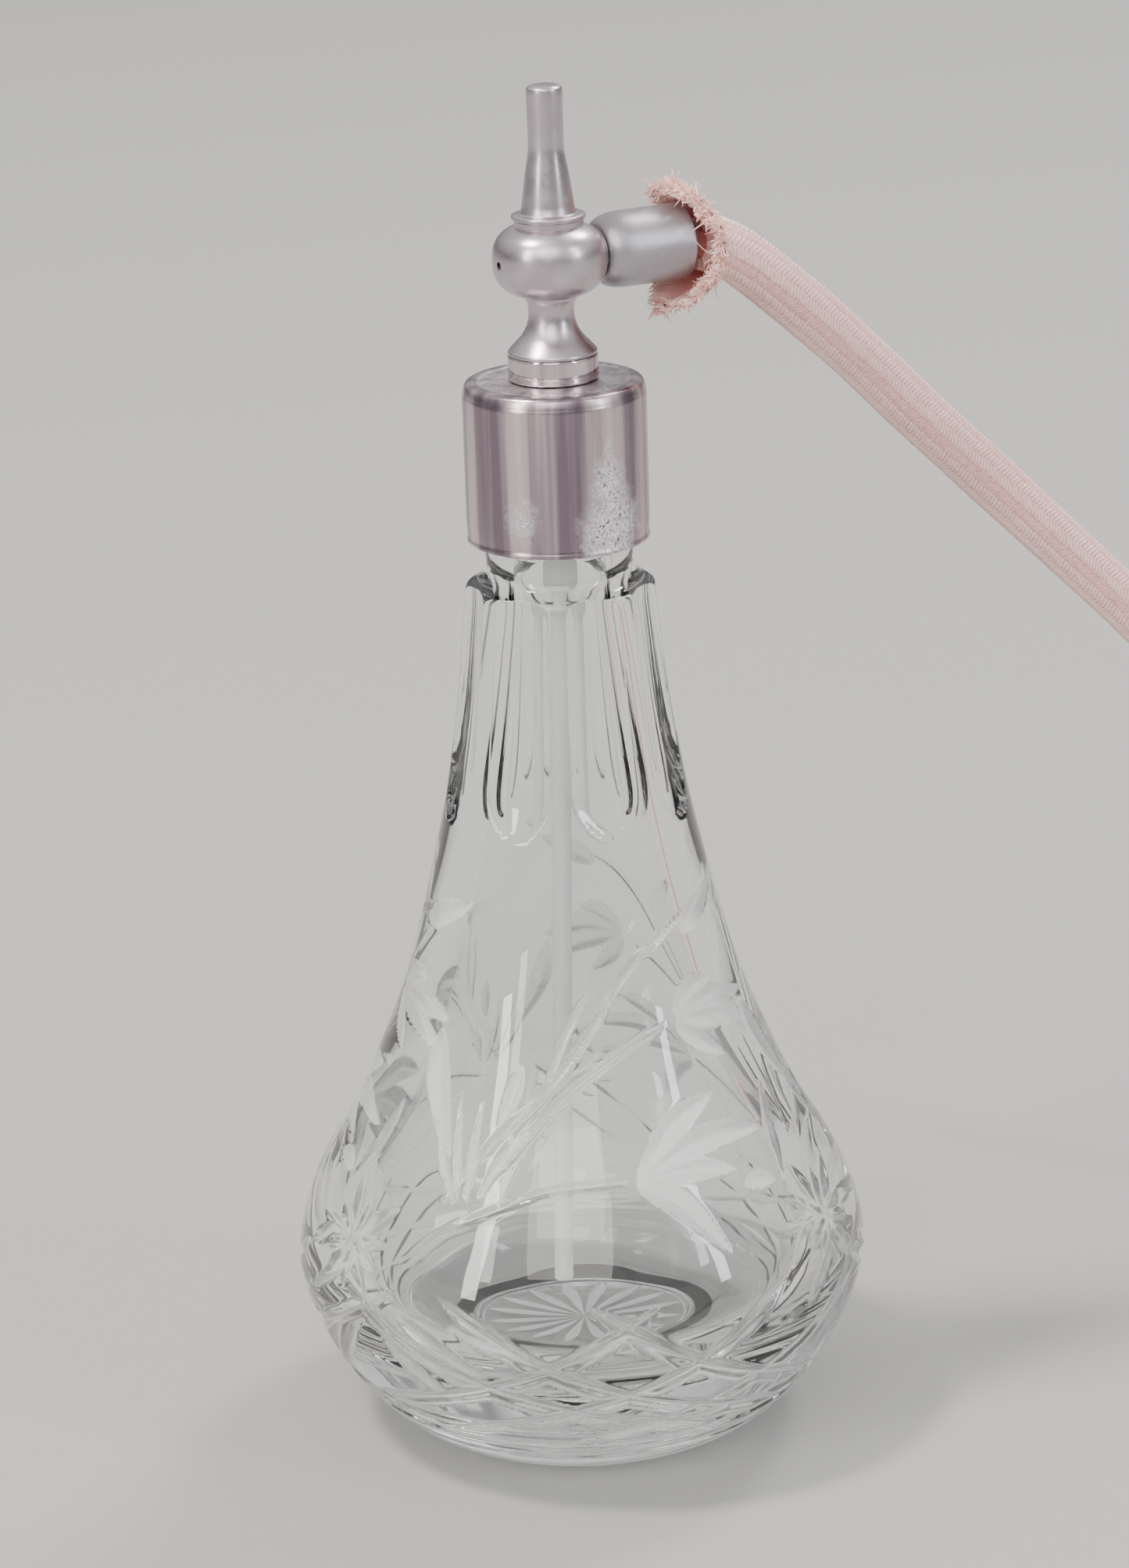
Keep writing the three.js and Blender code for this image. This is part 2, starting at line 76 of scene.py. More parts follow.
def add_camera():
    right = Vector((math.cos(VIEW_AZIMUTH), math.sin(VIEW_AZIMUTH), 0))
    away = Vector((-math.sin(VIEW_AZIMUTH), math.cos(VIEW_AZIMUTH), 0))
    up = Vector((0, 0, 1))
    forward = away * math.cos(VIEW_PITCH) - up * math.sin(VIEW_PITCH)
    level_up = away * math.sin(VIEW_PITCH) + up * math.cos(VIEW_PITCH)
    rolled_right = right * math.cos(VIEW_ROLL) - level_up * math.sin(VIEW_ROLL)
    rolled_up = level_up * math.cos(VIEW_ROLL) + right * math.sin(VIEW_ROLL)
    place = -away * VIEW_DISTANCE + up * VIEW_HEIGHT + right * VIEW_SHIFT
    data = bpy.data.cameras.new("camera")
    data.lens = LENS_MM
    data.sensor_width = SENSOR_MM
    camera = bpy.data.objects.new("camera", data)
    bpy.context.scene.collection.objects.link(camera)
    turn = Matrix((rolled_right, rolled_up, -forward)).transposed()
    camera.matrix_world = Matrix.Translation(place) @ turn.to_4x4()
    bpy.context.scene.camera = camera


add_camera()

# ---- materials ----


def new_material(name):
    """An empty Principled material: (material, its nodes, its links, the shader)."""
    material = bpy.data.materials.new(name)
    material.use_nodes = True
    nodes = material.node_tree.nodes
    return material, nodes, material.node_tree.links, nodes["Principled BSDF"]


def feed(links, socket, value):
    """Sets a socket to a constant, or links it to another socket."""
    if isinstance(value, (int, float, tuple)):
        socket.default_value = value
    else:
        links.new(value, socket)


def calculate(nodes, links, operation, *values):
    """The output of a maths node."""
    node = nodes.new("ShaderNodeMath")
    node.operation = operation
    for socket, value in zip(node.inputs, values):
        feed(links, socket, value)
    return node.outputs[0]


def blend(nodes, links, factor, a, b, mode="MIX"):
    """Colour a turned into colour b by the factor."""
    node = nodes.new("ShaderNodeMix")
    node.data_type = "RGBA"
    node.blend_type = mode
    for key, value in (("Factor", factor), ("A", a), ("B", b)):
        feed(links, node.inputs[key], value)
    return node.outputs["Result"]


def attribute(nodes, name):
    """The value of a mesh attribute."""
    node = nodes.new("ShaderNodeAttribute")
    node.attribute_name = name
    return node.outputs["Fac"]


def ramp(nodes, links, source, stops):
    """A colour ramp of (position, grey or colour) stops, fed from a socket."""
    node = nodes.new("ShaderNodeValToRGB")
    elements = node.color_ramp.elements
    while len(elements) < len(stops):
        elements.new(0.5)
    for element, (position, value) in zip(elements, stops):
        element.position = position
        grey = (value, value, value) if isinstance(value, (int, float)) else value
        element.color = (*grey, 1)
    links.new(source, node.inputs["Fac"])
    return node.outputs["Color"]


def noise(nodes, links, scale, detail=4.0, roughness=0.55, stretch=None):
    """Object-space noise; stretch scales the coordinates along X, Y and Z."""
    coordinates = nodes.new("ShaderNodeTexCoord").outputs["Object"]
    if stretch is not None:
        mapping = nodes.new("ShaderNodeMapping")
        mapping.inputs["Scale"].default_value = stretch
        links.new(coordinates, mapping.inputs["Vector"])
        coordinates = mapping.outputs["Vector"]
    node = nodes.new("ShaderNodeTexNoise")
    node.inputs["Scale"].default_value = scale
    node.inputs["Detail"].default_value = detail
    node.inputs["Roughness"].default_value = roughness
    links.new(coordinates, node.inputs["Vector"])
    return node.outputs["Fac"]


def bump(nodes, links, shader, height, strength, distance):
    node = nodes.new("ShaderNodeBump")
    node.inputs["Strength"].default_value = strength
    node.inputs["Distance"].default_value = distance
    links.new(height, node.inputs["Height"])
    links.new(node.outputs["Normal"], shader.inputs["Normal"])


def metal(name, dark, light, rough_low, rough_high, grain=None, bump_strength=0.12):
    """Worn plated metal: cloudy colour, uneven gloss and a fine grain, drawn out along grain."""
    material, nodes, links, shader = new_material(name)
    shader.inputs["Metallic"].default_value = 1
    clouds = noise(nodes, links, 320 if grain else 140, 6, 0.6, grain)
    links.new(ramp(nodes, links, clouds, [(0.3, dark), (0.72, light)]), shader.inputs["Base Color"])
    smears = noise(nodes, links, 260, 8, 0.7, grain)
    links.new(
        ramp(nodes, links, smears, [(0.3, rough_low), (0.75, rough_high)]),
        shader.inputs["Roughness"],
    )
    fine = noise(nodes, links, 1500, 3, 0.6, grain)
    bump(nodes, links, shader, fine, bump_strength, 0.00008)
    return material


def collar_metal():
    """Streaky plated brass, dulled and pitted where the wear attribute says."""
    material, nodes, links, shader = new_material("collar_plate")
    shader.inputs["Metallic"].default_value = 1
    ragged_edge = calculate(
        nodes, links, "MULTIPLY_ADD", noise(nodes, links, 520, 7, 0.7), 0.62, attribute(nodes, "wear")
    )
    patch = ramp(nodes, links, ragged_edge, [(0.58, 0.0), (0.98, 1.0)])
    pits = ramp(nodes, links, noise(nodes, links, 3300, 2, 0.5), [(0.35, 1.0), (0.41, 0.0)])
    pitting = calculate(nodes, links, "MULTIPLY", pits, patch)
    plate = ramp(nodes, links, noise(nodes, links, 330, 3, 0.5, (1, 1, 0.03)), [
        (0.34, (0.22, 0.165, 0.2)), (0.46, (0.36, 0.295, 0.335)), (0.53, (0.54, 0.44, 0.445)),
        (0.66, (0.66, 0.57, 0.59)),
    ])
    bloom = ramp(nodes, links, noise(nodes, links, 2100, 4, 0.7), [
        (0.36, (0.52, 0.48, 0.54)), (0.6, (0.99, 0.97, 1.0)),
    ])
    worn = blend(nodes, links, patch, plate, bloom)
    links.new(blend(nodes, links, pitting, worn, (0.12, 0.1, 0.11, 1)), shader.inputs["Base Color"])
    gloss = noise(nodes, links, 420, 6, 0.7, (1, 1, 0.08))
    smooth = ramp(nodes, links, gloss, [(0.3, 0.22), (0.75, 0.38)])
    links.new(
        blend(nodes, links, patch, smooth, (0.52, 0.52, 0.52, 1)), shader.inputs["Roughness"]
    )
    bump(nodes, links, shader, pitting, 0.6, -0.00008)
    return material


def glass_material():
    """Clear lead crystal, ground matt and whitish where the frost attribute says."""
    material, nodes, links, shader = new_material("cut_crystal")
    shader.inputs["Base Color"].default_value = (0.975, 0.99, 0.982, 1)
    shader.inputs["IOR"].default_value = 1.53
    frost = attribute(nodes, "frost")
    clear = calculate(nodes, links, "MULTIPLY_ADD", frost, -0.5, 1.0)
    links.new(clear, shader.inputs["Transmission Weight"])
    grain = ramp(nodes, links, noise(nodes, links, 900, 5, 0.7), [(0.3, 0.35), (0.7, 0.62)])
    links.new(calculate(nodes, links, "MULTIPLY", frost, grain), shader.inputs["Roughness"])
    return material


def fabric(name, deep, face, sheen=0.35, speckle=0.12):
    """Yarn whose colour deepens in the grooves that the relief attribute marks (0 deep, 1 proud):
    painted shade in the braid's grooves; on loose strands and the frayed flare the same ramp gives
    the yarns' own tones.
    """
    material, nodes, links, shader = new_material(name)
    # painted shade: the braid's low relief, its grooves, takes the deep colour; elsewhere deep to
    # face are the yarns' own tones
    shade = ramp(nodes, links, attribute(nodes, "relief"), [(0.1, deep), (0.75, face)])
    faded = (1 - speckle, 1 - 1.3 * speckle, 1 - 1.25 * speckle)
    fade = ramp(nodes, links, noise(nodes, links, 70, 5, 0.6), [(0.3, faded), (0.7, (1, 1, 1))])
    links.new(blend(nodes, links, 1, shade, fade, "MULTIPLY"), shader.inputs["Base Color"])
    shader.inputs["Roughness"].default_value = 0.92
    shader.inputs["Sheen Weight"].default_value = sheen
    shader.inputs["Sheen Roughness"].default_value = 0.4
    shader.inputs["Sheen Tint"].default_value = (1, 0.9, 0.88, 1)
    bump(nodes, links, shader, noise(nodes, links, 5200, 3, 0.7), 0.35, 0.00012)
    return material


def rubber_material(name, low, high):
    material, nodes, links, shader = new_material(name)
    clouds = noise(nodes, links, 120, 6, 0.65)
    links.new(ramp(nodes, links, clouds, [(0.3, low), (0.7, high)]), shader.inputs["Base Color"])
    shader.inputs["Roughness"].default_value = 0.62
    bump(nodes, links, shader, noise(nodes, links, 1400, 4, 0.6), 0.2, 0.00008)
    return material


def milky_plastic():
    material, nodes, links, shader = new_material("milky_plastic")
    clouds = noise(nodes, links, 160, 4, 0.6, (1, 1, 0.2))
    links.new(
        ramp(nodes, links, clouds, [(0.3, (0.88, 0.9, 0.88)), (0.7, (0.97, 0.98, 0.97))]),
        shader.inputs["Base Color"],
    )
    shader.inputs["Transmission Weight"].default_value = 0.12
    shader.inputs["IOR"].default_value = 1.46
    links.new(
        ramp(nodes, links, noise(nodes, links, 500), [(0.3, 0.3), (0.7, 0.5)]),
        shader.inputs["Roughness"],
    )
    return material


NICKEL = metal("worn_nickel", (0.42, 0.37, 0.4), (0.6, 0.54, 0.57), 0.22, 0.42)
SATIN = metal("satin_nickel", (0.34, 0.32, 0.35), (0.46, 0.43, 0.46), 0.36, 0.5, None, 0.35)
POLISHED = metal(
    "polished_nickel", (0.26, 0.2, 0.24), (0.82, 0.74, 0.74), 0.05, 0.14, (1, 1, 0.04), 0.05
)
# near-black metal for the spray hole's bore and its insert: painted shade in the hole
HOLE_SHADE = metal("bore_painted_shade", (0.02, 0.018, 0.02), (0.05, 0.045, 0.05), 0.5, 0.7)
BRASS = metal("old_brass", (0.46, 0.33, 0.16), (0.62, 0.47, 0.25), 0.25, 0.45)
STEEL = metal("valve_steel", (0.55, 0.55, 0.57), (0.68, 0.68, 0.7), 0.08, 0.2)
COLLAR = collar_metal()
GLASS = glass_material()
PLASTIC = milky_plastic()
# the braid's deep colour is painted shade in the grooves of the sleeve
BRAID = fabric("pink_braid", (0.64, 0.28, 0.26), (1.0, 0.72, 0.67))
FRAY = fabric("frayed_yarn", (0.62, 0.1, 0.09), (1.0, 0.7, 0.62), 0.35, 0.1)
NET = fabric("net_yarn", (0.5, 0.26, 0.25), (0.83, 0.61, 0.58), 0.4)
TASSEL = fabric("tassel_yarn", (0.5, 0.25, 0.24), (0.84, 0.6, 0.57), 0.6)
HOSE_RUBBER = rubber_material("hose_rubber", (0.34, 0.1, 0.1), (0.45, 0.16, 0.15))
BULB_RUBBER = rubber_material("bulb_rubber", (0.42, 0.2, 0.18), (0.55, 0.29, 0.26))
WASHER_RUBBER = rubber_material("washer_rubber", (0.03, 0.028, 0.027), (0.06, 0.055, 0.05))

# ---- mesh builders ----


def new_object(name, vertices, faces, material, attributes=None, sharp=None):
    """A smooth mesh from millimetre points and quad or triangle index rows; sharp is in degrees."""
    mesh = bpy.data.meshes.new(name)
    points = np.asarray(vertices, np.float32) * MM
    loops = np.concatenate([np.asarray(f, np.int32).ravel() for f in faces])
    sizes = np.concatenate([np.full(len(f), np.shape(f)[1], np.int32) for f in faces])
    mesh.vertices.add(len(points))
    mesh.vertices.foreach_set("co", points.ravel())
    mesh.loops.add(len(loops))
    mesh.loops.foreach_set("vertex_index", loops)
    mesh.polygons.add(len(sizes))
    starts = np.concatenate([[0], np.cumsum(sizes)[:-1]]).astype(np.int32)
    mesh.polygons.foreach_set("loop_start", starts)
    mesh.update(calc_edges=True)
    mesh.validate()
    mesh.polygons.foreach_set("use_smooth", np.ones(len(sizes), bool))
    if sharp is not None:
        mesh.set_sharp_from_angle(angle=math.radians(sharp))
    for key, values in (attributes or {}).items():
        layer = mesh.attributes.new(key, "FLOAT", "POINT")
        layer.data.foreach_set("value", np.asarray(values, np.float32).ravel())
    mesh.materials.append(material)
    made = bpy.data.objects.new(name, mesh)
    bpy.context.scene.collection.objects.link(made)
    return made


def grid_faces(rows, columns, wrap_rows=False):
    """Quads of a grid whose columns wrap round."""
    i = np.arange(rows if wrap_rows else rows - 1)[:, None]
    j = np.arange(columns)[None, :]
    a = i * columns + j
    b = i * columns + (j + 1) % columns
    up = ((i + 1) % rows) * columns
    return np.stack([a, b, up + (j + 1) % columns, up + j], axis=-1).reshape(-1, 4)


def end_fans(rows, columns):
    """Triangles from the first and last ring of a grid to the two points that follow the grid."""
    j = np.arange(columns)
    k = (j + 1) % columns
    last, tip = (rows - 1) * columns, rows * columns
    return [
        np.stack([k, j, np.full(columns, tip)], axis=1),
        np.stack([last + j, last + k, np.full(columns, tip + 1)], axis=1),
    ]


def curve_through(points, step):
    """A centripetal Catmull-Rom curve through the points, sampled about every step."""
    p = np.asarray(points, float)
    p = np.vstack([2 * p[0] - p[1], p, 2 * p[-1] - p[-2]])
    pieces = []
    for p0, p1, p2, p3 in zip(p[:-3], p[1:-2], p[2:-1], p[3:]):
        t1 = math.sqrt(np.linalg.norm(p1 - p0))
        t2 = t1 + math.sqrt(np.linalg.norm(p2 - p1))
        t3 = t2 + math.sqrt(np.linalg.norm(p3 - p2))
        t = np.linspace(t1, t2, 40, endpoint=False)[:, None]
        a1 = (t1 - t) / t1 * p0 + t / t1 * p1
        a2 = (t2 - t) / (t2 - t1) * p1 + (t - t1) / (t2 - t1) * p2
        a3 = (t3 - t) / (t3 - t2) * p2 + (t - t2) / (t3 - t2) * p3
        b1 = (t2 - t) / t2 * a1 + t / t2 * a2
        b2 = (t3 - t) / (t3 - t1) * a2 + (t - t1) / (t3 - t1) * a3
        pieces.append((t2 - t) / (t2 - t1) * b1 + (t - t1) / (t2 - t1) * b2)
    dense = np.vstack([*pieces, p[-2:-1]])
    return resampled(dense, step)


def resampled(line, step):
    """The line in even steps."""
    along = np.concatenate([[0], np.cumsum(np.linalg.norm(np.diff(line, axis=0), axis=1))])
    at = np.linspace(0, along[-1], max(2, round(along[-1] / step) + 1))
    return np.stack([np.interp(at, along, line[:, k]) for k in range(line.shape[1])], axis=1)


def frames_along(line):
    """Tangent, side and up of a 3-D line, carried along it without twist."""
    tangent = np.gradient(line, axis=0)
    tangent /= np.linalg.norm(tangent, axis=1)[:, None]
    start = np.array([0, 0, 1.0]) if abs(tangent[0, 2]) < 0.9 else np.array([1.0, 0, 0])
    side = np.zeros_like(line)
    side[0] = np.cross(start, tangent[0])
    side[0] /= np.linalg.norm(side[0])
    for i in range(1, len(line)):
        carried = side[i - 1] - tangent[i] * (side[i - 1] @ tangent[i])
        side[i] = carried / np.linalg.norm(carried)
    return tangent, side, np.cross(tangent, side)


def rounded(outline, radius=0.25, steps=4):
    """The outline with each corner turned into a small curve; a third value is its own radius."""
    points = [np.array(p[:2], float) for p in outline]
    radii = [p[2] if len(p) > 2 else radius for p in outline]
    result = [points[0]]
    for before, corner, after, r in zip(points, points[1:], points[2:], radii[1:]):
        u, v = before - corner, after - corner
        reach = min(r, 0.45 * np.linalg.norm(u), 0.45 * np.linalg.norm(v))
        a = corner + u / np.linalg.norm(u) * reach
        b = corner + v / np.linalg.norm(v) * reach
        for t in np.linspace(0, 1, steps + 1):
            result.append((1 - t) ** 2 * a + 2 * t * (1 - t) * corner + t * t * b)
    result.append(points[-1])
    return np.array(result)


def lathe(name, outline, material, axis="Z", centre=(0, 0, 0), segments=96, sharp=40):
    """A turned solid from [radius, along] rows: on the axis at both ends, or else a closed ring."""
    rows = np.asarray(outline, float)
    keep = np.concatenate([[True], np.linalg.norm(np.diff(rows, axis=0), axis=1) > 1e-6])
    rows = rows[keep]
    ring = bool(rows[0, 0] > 1e-9)
    if ring and np.linalg.norm(rows[0] - rows[-1]) < 1e-6:
        rows = rows[:-1]
    angle = np.arange(segments) / segments * TAU
    body = rows if ring else rows[1:-1]
    x = body[:, :1] * np.cos(angle)
    y = body[:, :1] * np.sin(angle)
    z = np.repeat(body[:, 1:], segments, axis=1)
    points = np.stack([x, y, z], axis=-1).reshape(-1, 3)
    faces = [grid_faces(len(body), segments, wrap_rows=ring)]
    if not ring:
        points = np.vstack([points, [[0, 0, rows[0, 1]], [0, 0, rows[-1, 1]]]])
        faces += end_fans(len(body), segments)
    if axis == "X":
        points = points[:, [2, 0, 1]]
    faces = facing_out(points, faces)
    return new_object(name, points + np.asarray(centre), faces, material, None, sharp)


def facing_out(points, faces):
    """The faces of a closed mesh, turned over if they enclose a negative volume."""
    volume = 0.0
    for f in faces:
        a, b, c = (points[f[:, k]] for k in range(3))
        volume += np.einsum("ij,ij->", a, np.cross(b, c))
        if f.shape[1] == 4:
            volume += np.einsum("ij,ij->", a, np.cross(c, points[f[:, 3]]))
    return [f[:, ::-1] for f in faces] if volume < 0 else faces


def sweep(line, radii, sides):
    """Points and faces of a capped tube along a line; radii has one value, or sides, a ring."""
    _, side, up = frames_along(line)
    angle = np.arange(sides) / sides * TAU
    r = np.asarray(radii, float).reshape(len(line), -1, 1)
    out = side[:, None] * np.cos(angle)[:, None] + up[:, None] * np.sin(angle)[:, None]
    points = (line[:, None] + out * r).reshape(-1, 3)
    faces = [grid_faces(len(line), sides), *end_fans(len(line), sides)]
    return np.vstack([points, line[:1], line[-1:]]), [f[:, ::-1] for f in faces]


def strands(name, lines, radii, sides, material, reliefs):
    """Many thin tubes joined in one mesh, each with its own relief value."""
    points, quads, triangles, relief = [], [], [], []
    first = 0
    for line, radius, height in zip(lines, radii, reliefs):
        p, f = sweep(line, radius, sides)
        points.append(p)
        quads.append(f[0] + first)
        triangles.extend([f[1] + first, f[2] + first])
        relief.append(np.full(len(p), height))
        first += len(p)
    faces = [np.vstack(quads), np.vstack(triangles)]
    return new_object(
        name, np.vstack(points), faces, material, {"relief": np.concatenate(relief)}
    )


def place(piece, body, slot, *replaced):
    """Puts a piece on its body instead of the CAD nodes that it replaces; slot is not used."""
    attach(piece, body)
    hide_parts(*replaced)
    return piece


# ---- hose ----

HOSE_ROUTE = [
    (10, 0, 147), (14, 0, 147), (17.6, 0, 147), (21, 0, 146.4), (24.4, 0.1, 144.9),
    (28, 0.4, 142.4), (32, 1, 139.2), (37.2, 2, 135), (45.5, 4, 127.9), (54.5, 5.8, 119.7),
    (64, 6.9, 111.1), (75.5, 7.2, 100.3), (87.8, 6.6, 88.4), (97, 4.6, 78.2), (105, 1.2, 67.5),
    (112, -3.6, 56), (118, -9.6, 44.2), (123, -17, 32.4), (127.2, -26, 21.4),
    (130.6, -36.4, 12), (133.4, -48, 5.8), (135.6, -60, 3.5), (137.2, -71.6, 4.8),
    (138.3, -82, 9), (138.8, -92, 14.2), (139, -102, 18.2), (139, -109.5, 19.5),
    (139, -113, 19.5), (139, -117, 19.5),
]
HOSE_DIAMETER = 6.5
HOSE_STEP = 0.14                      # spacing of the sleeve's rings
SLEEVE_COLUMNS = 96
BARREL_END = 17.8
SLEEVE_START = BARREL_END + 2.4       # the sleeve begins inside its own frayed end
BALL_Z = 147.0
STITCH = 0.62                         # length of one stitch of the braid
BRAID_COLUMNS = 15


def braid_relief(turn, along):
    """Height (0 to 1) of the braid: columns of slanting stitches, and every third one smooth."""
    column = turn * BRAID_COLUMNS
    across = column % 1.0
    index = np.floor(column).astype(int)
    slant = np.where(index % 2 == 0, 1.0, -1.0) * (across - 0.5) * 1.5
    stitch = 0.5 + 0.5 * np.cos(TAU * (along / STITCH + slant))
    # rib lowers the edges of each column, which the sleeve's colour paints darker: painted shade
    # between columns
    rib = np.sin(math.pi * across) ** 0.5
    smooth = index % 3 == 2
    height = np.where(smooth, 0.34 + 0.14 * stitch, 0.3 + 0.7 * stitch ** 0.8)
    return height * (0.55 + 0.45 * rib)


def hose():
    """The braided sleeve and its centre line; it is slacker where it hangs free."""
    line = curve_through(HOSE_ROUTE, HOSE_STEP)
    line = line[np.argmax(line[:, 0] > SLEEVE_START):]
    along = np.arange(len(line)) * HOSE_STEP
    turn = np.arange(SLEEVE_COLUMNS) / SLEEVE_COLUMNS
    wander = 0.006 * np.sin(along / 9.0)
    # the relief lifts the stitches and also deepens the sleeve's colour in the grooves between them:
    # painted shade
    relief = braid_relief((turn[None, :] + wander[:, None]) % 1.0, along[:, None])
    relief += 0.1 * rng.standard_normal(relief.shape)
    swell = 0.05 * np.sin(along / 7.3) + 0.04 * np.sin(along / 3.1 + 1)
    slack = 0.22 * np.clip((line[:, 2] - 30) / 40, 0, 1)
    radius = HOSE_DIAMETER / 2 - 0.24 + 0.3 * relief + (swell * 0.6 + slack)[:, None]
    points, faces = sweep(line, radius, SLEEVE_COLUMNS)
    values = np.concatenate([relief.ravel(), [0.2, 0.2]])
    return new_object("hose_braid_sleeve", points, faces, BRAID, {"relief": values}), line


braid_sleeve, braid_line = hose()
place(braid_sleeve, "head", "braid", "hose_braid")

# ---- glass bottle ----

BODY = [
    (34.8, 26.5), (33.3, 30.8), (31.0, 35.3), (27.5, 41.3), (23.8, 49.6), (20.6, 57.9),
    (17.6, 69), (14.6, 82.3), (12.8, 94.2), (12.0, 102.1), (11.6, 106.2),
]
FOOT_RADIUS, WIDEST_RADIUS, WIDEST_Z = 19.5, 35.5, 21.8
CAVITY = [
    (5.6, 127.4), (5.6, 117), (5.7, 108), (6.8, 98), (9.4, 80), (13.2, 63), (19.5, 44),
    (25.6, 32), (28.2, 25), (28, 20.5), (25.4, 16.6), (19, 14), (10, 12.6), (0, 12.2),
]
FACING = -118.0                       # azimuth of the side that faces the camera, in degrees
REPEATS = 3                           # the cut pattern goes round three times
GLASS_COLUMNS = 660
SHOULDER_RADIUS, SHOULDER_Z = 11.6, 106.2
FLUTES = 8
FLUTE_PHASE, FLUTE_HALF_WIDTH = 19.5, 17.0       # degrees
FLUTE_DEPTH, FLUTE_END, FLUTE_RUNOUT = 1.05, 85, 5.6
STAR_RADIUS, STAR_DEPTH, STAR_RAYS = 14.4, 1.6, 16
GROUND = 0.55                         # strokes with more frosting than this are shallow leaves
CHUNK = 4000                          # points compared with a stroke at a time

# Each cut: its points as (degrees round from the facing side, height), half width, and frosting.
STEMS = [
    ([(-35, 37), (-29, 41), (-22, 45.5), (-9, 51), (6, 58), (19, 63.5), (38, 67.5), (70, 70.5)],
     0.62, 0.15),
    ([(-24, 40), (-11, 47), (0, 51.5), (16, 55), (31, 57)], 0.66, 0.15),
    ([(-30, 35.5), (-19, 38), (-8, 40), (3, 40.5), (13, 40.7)], 0.52, 0.15),
    ([(-9, 51), (-4, 56.5), (5, 62)], 0.45, 0.3),
]
LEAVES = [
    ([(46, 67.2), (58, 68.7), (77, 71.2)], 1.7, 0.68),
    ([(35, 58), (45, 60), (56, 60.6)], 1.5, 0.68),
    ([(35, 57.8), (55, 58.3), (74, 57)], 1.7, 0.68),
    ([(36, 57.4), (55, 56), (73, 53.5)], 1.6, 0.68),
    ([(35, 57), (43, 54.3), (52, 51.6)], 1.4, 0.68),
    ([(14, 40.8), (28, 46.2), (42, 48.2)], 1.7, 0.68),
    ([(14, 40.6), (35, 43.6), (56, 42.6)], 1.8, 0.68),
    ([(14, 40.4), (28, 40.8), (42, 39.4)], 1.6, 0.68),
    ([(14, 40.2), (24, 37.4), (33, 31.2)], 1.8, 0.68),
    ([(42, 37.6), (47, 37.6), (52, 36.8)], 1.2, 0.68),
    ([(-49, 56), (-45, 50), (-35, 42)], 1.9, 0.62),
    ([(-17, 53.6), (-19.5, 50), (-22.5, 46.6)], 1.0, 0.62),
    ([(-31, 37.6), (-37, 42), (-44, 49.5)], 0.6, 0.5),
    ([(-30, 37.6), (-33, 43), (-36, 50.5)], 0.6, 0.5),
    ([(-28, 37.8), (-28.5, 43), (-28, 50)], 0.6, 0.5),
    ([(-25, 38.5), (-20, 43.5), (-13, 46)], 0.6, 0.5),
]
BURST_CENTRE, BURST_REACH, BURST_RAYS = (-57, 30.5), (6.2, 9.2), 11
LOWER_ARCS = [
    ([(-58, 27), (-30, 18.5), (0, 12.5), (30, 8.2)], 1.25, 0.22),
    ([(-30, 27.5), (-4, 18.5), (24, 12), (52, 8)], 1.25, 0.22),
    ([(2, 27.2), (26, 18), (52, 11.8), (76, 8)], 1.25, 0.22),
    ([(-34, 8), (-8, 12), (20, 18), (46, 27)], 1.15, 0.22),
    ([(-66, 8.2), (-40, 12.2), (-12, 18.2), (14, 26.6)], 1.15, 0.22),
    ([(-2, 8), (24, 11.6), (52, 17.6), (78, 26.6)], 1.15, 0.22),
]
FANS = [
    ([(44, 10), (54, 15.5), (64, 21)], 1.15, 0.35),
    ([(52, 10.5), (61, 16), (71, 22.5)], 1.15, 0.35),
    ([(50, 22), (60, 26.5), (71, 31)], 1.1, 0.35),
    ([(46, 27), (54, 30.5), (63, 34)], 0.9, 0.35),
    ([(-40, 24), (-30, 21), (-19, 17.5)], 1.2, 0.35),
    ([(-44, 21), (-36, 17), (-27, 12.5)], 1.1, 0.35),
    ([(-28, 24.5), (-18, 22.5), (-8, 20)], 1.0, 0.35),
    ([(-66, 36), (-61, 42), (-57, 47)], 1.0, 0.4),
]
RINGS = [(4.6, 0.55), (7.2, 0.8), (10.0, 0.8)]         # height and half width


def catmull(points, count):
    """The points joined by a smooth curve, sampled evenly by parameter."""
    p = np.asarray(points, float)
    p = np.vstack([2 * p[0] - p[1], p, 2 * p[-1] - p[-2]])
    t = np.linspace(0, len(p) - 3 - 1e-9, count)
    k = t.astype(int)
    f = (t - k)[:, None]
    a, b, c, d = p[k], p[k + 1], p[k + 2], p[k + 3]
    return 0.5 * (2 * b + (c - a) * f + (2 * a - 5 * b + 4 * c - d) * f ** 2
                  + (3 * b - a - 3 * c + d) * f ** 3)


def glass_cuts():
    """Every engraved stroke as (points in degrees and height, half widths, frosting)."""
    strokes = []
    for turn in range(REPEATS):
        shift = np.array([turn * 360 / REPEATS, 0])
        for points, width, frost in STEMS + LOWER_ARCS:
            line = catmull(points, 90) + shift
            t = np.linspace(0, 1, len(line))
            taper = np.clip(np.minimum(t, 1 - t) * 9, 0.12, 1) ** 0.7
            strokes.append((line, width * taper, frost))
        for points, width, frost in LEAVES + FANS:
            line = catmull(points, 44) + shift
            t = np.linspace(0, 1, len(line))
            body = np.sin(math.pi * t ** 0.85) ** 0.8
            strokes.append((line, width * np.clip(body, 0.05, 1), frost))
        centre = np.array(BURST_CENTRE, float) + shift
        for k in range(BURST_RAYS):
            angle = TAU * (k + 0.3) / BURST_RAYS
            reach = BURST_REACH[k % 2]
            sideways = math.degrees(reach * math.cos(angle) / 33)
            far = centre + np.array([sideways, reach * math.sin(angle) * 0.9])
            near = centre + (far - centre) * 0.12
            line = near + (far - near) * np.linspace(0, 1, 26)[:, None]
            t = np.linspace(0, 1, len(line))
            strokes.append((line, 1.05 * np.clip(np.sin(math.pi * t ** 0.7), 0.06, 1), 0.3))
    return strokes


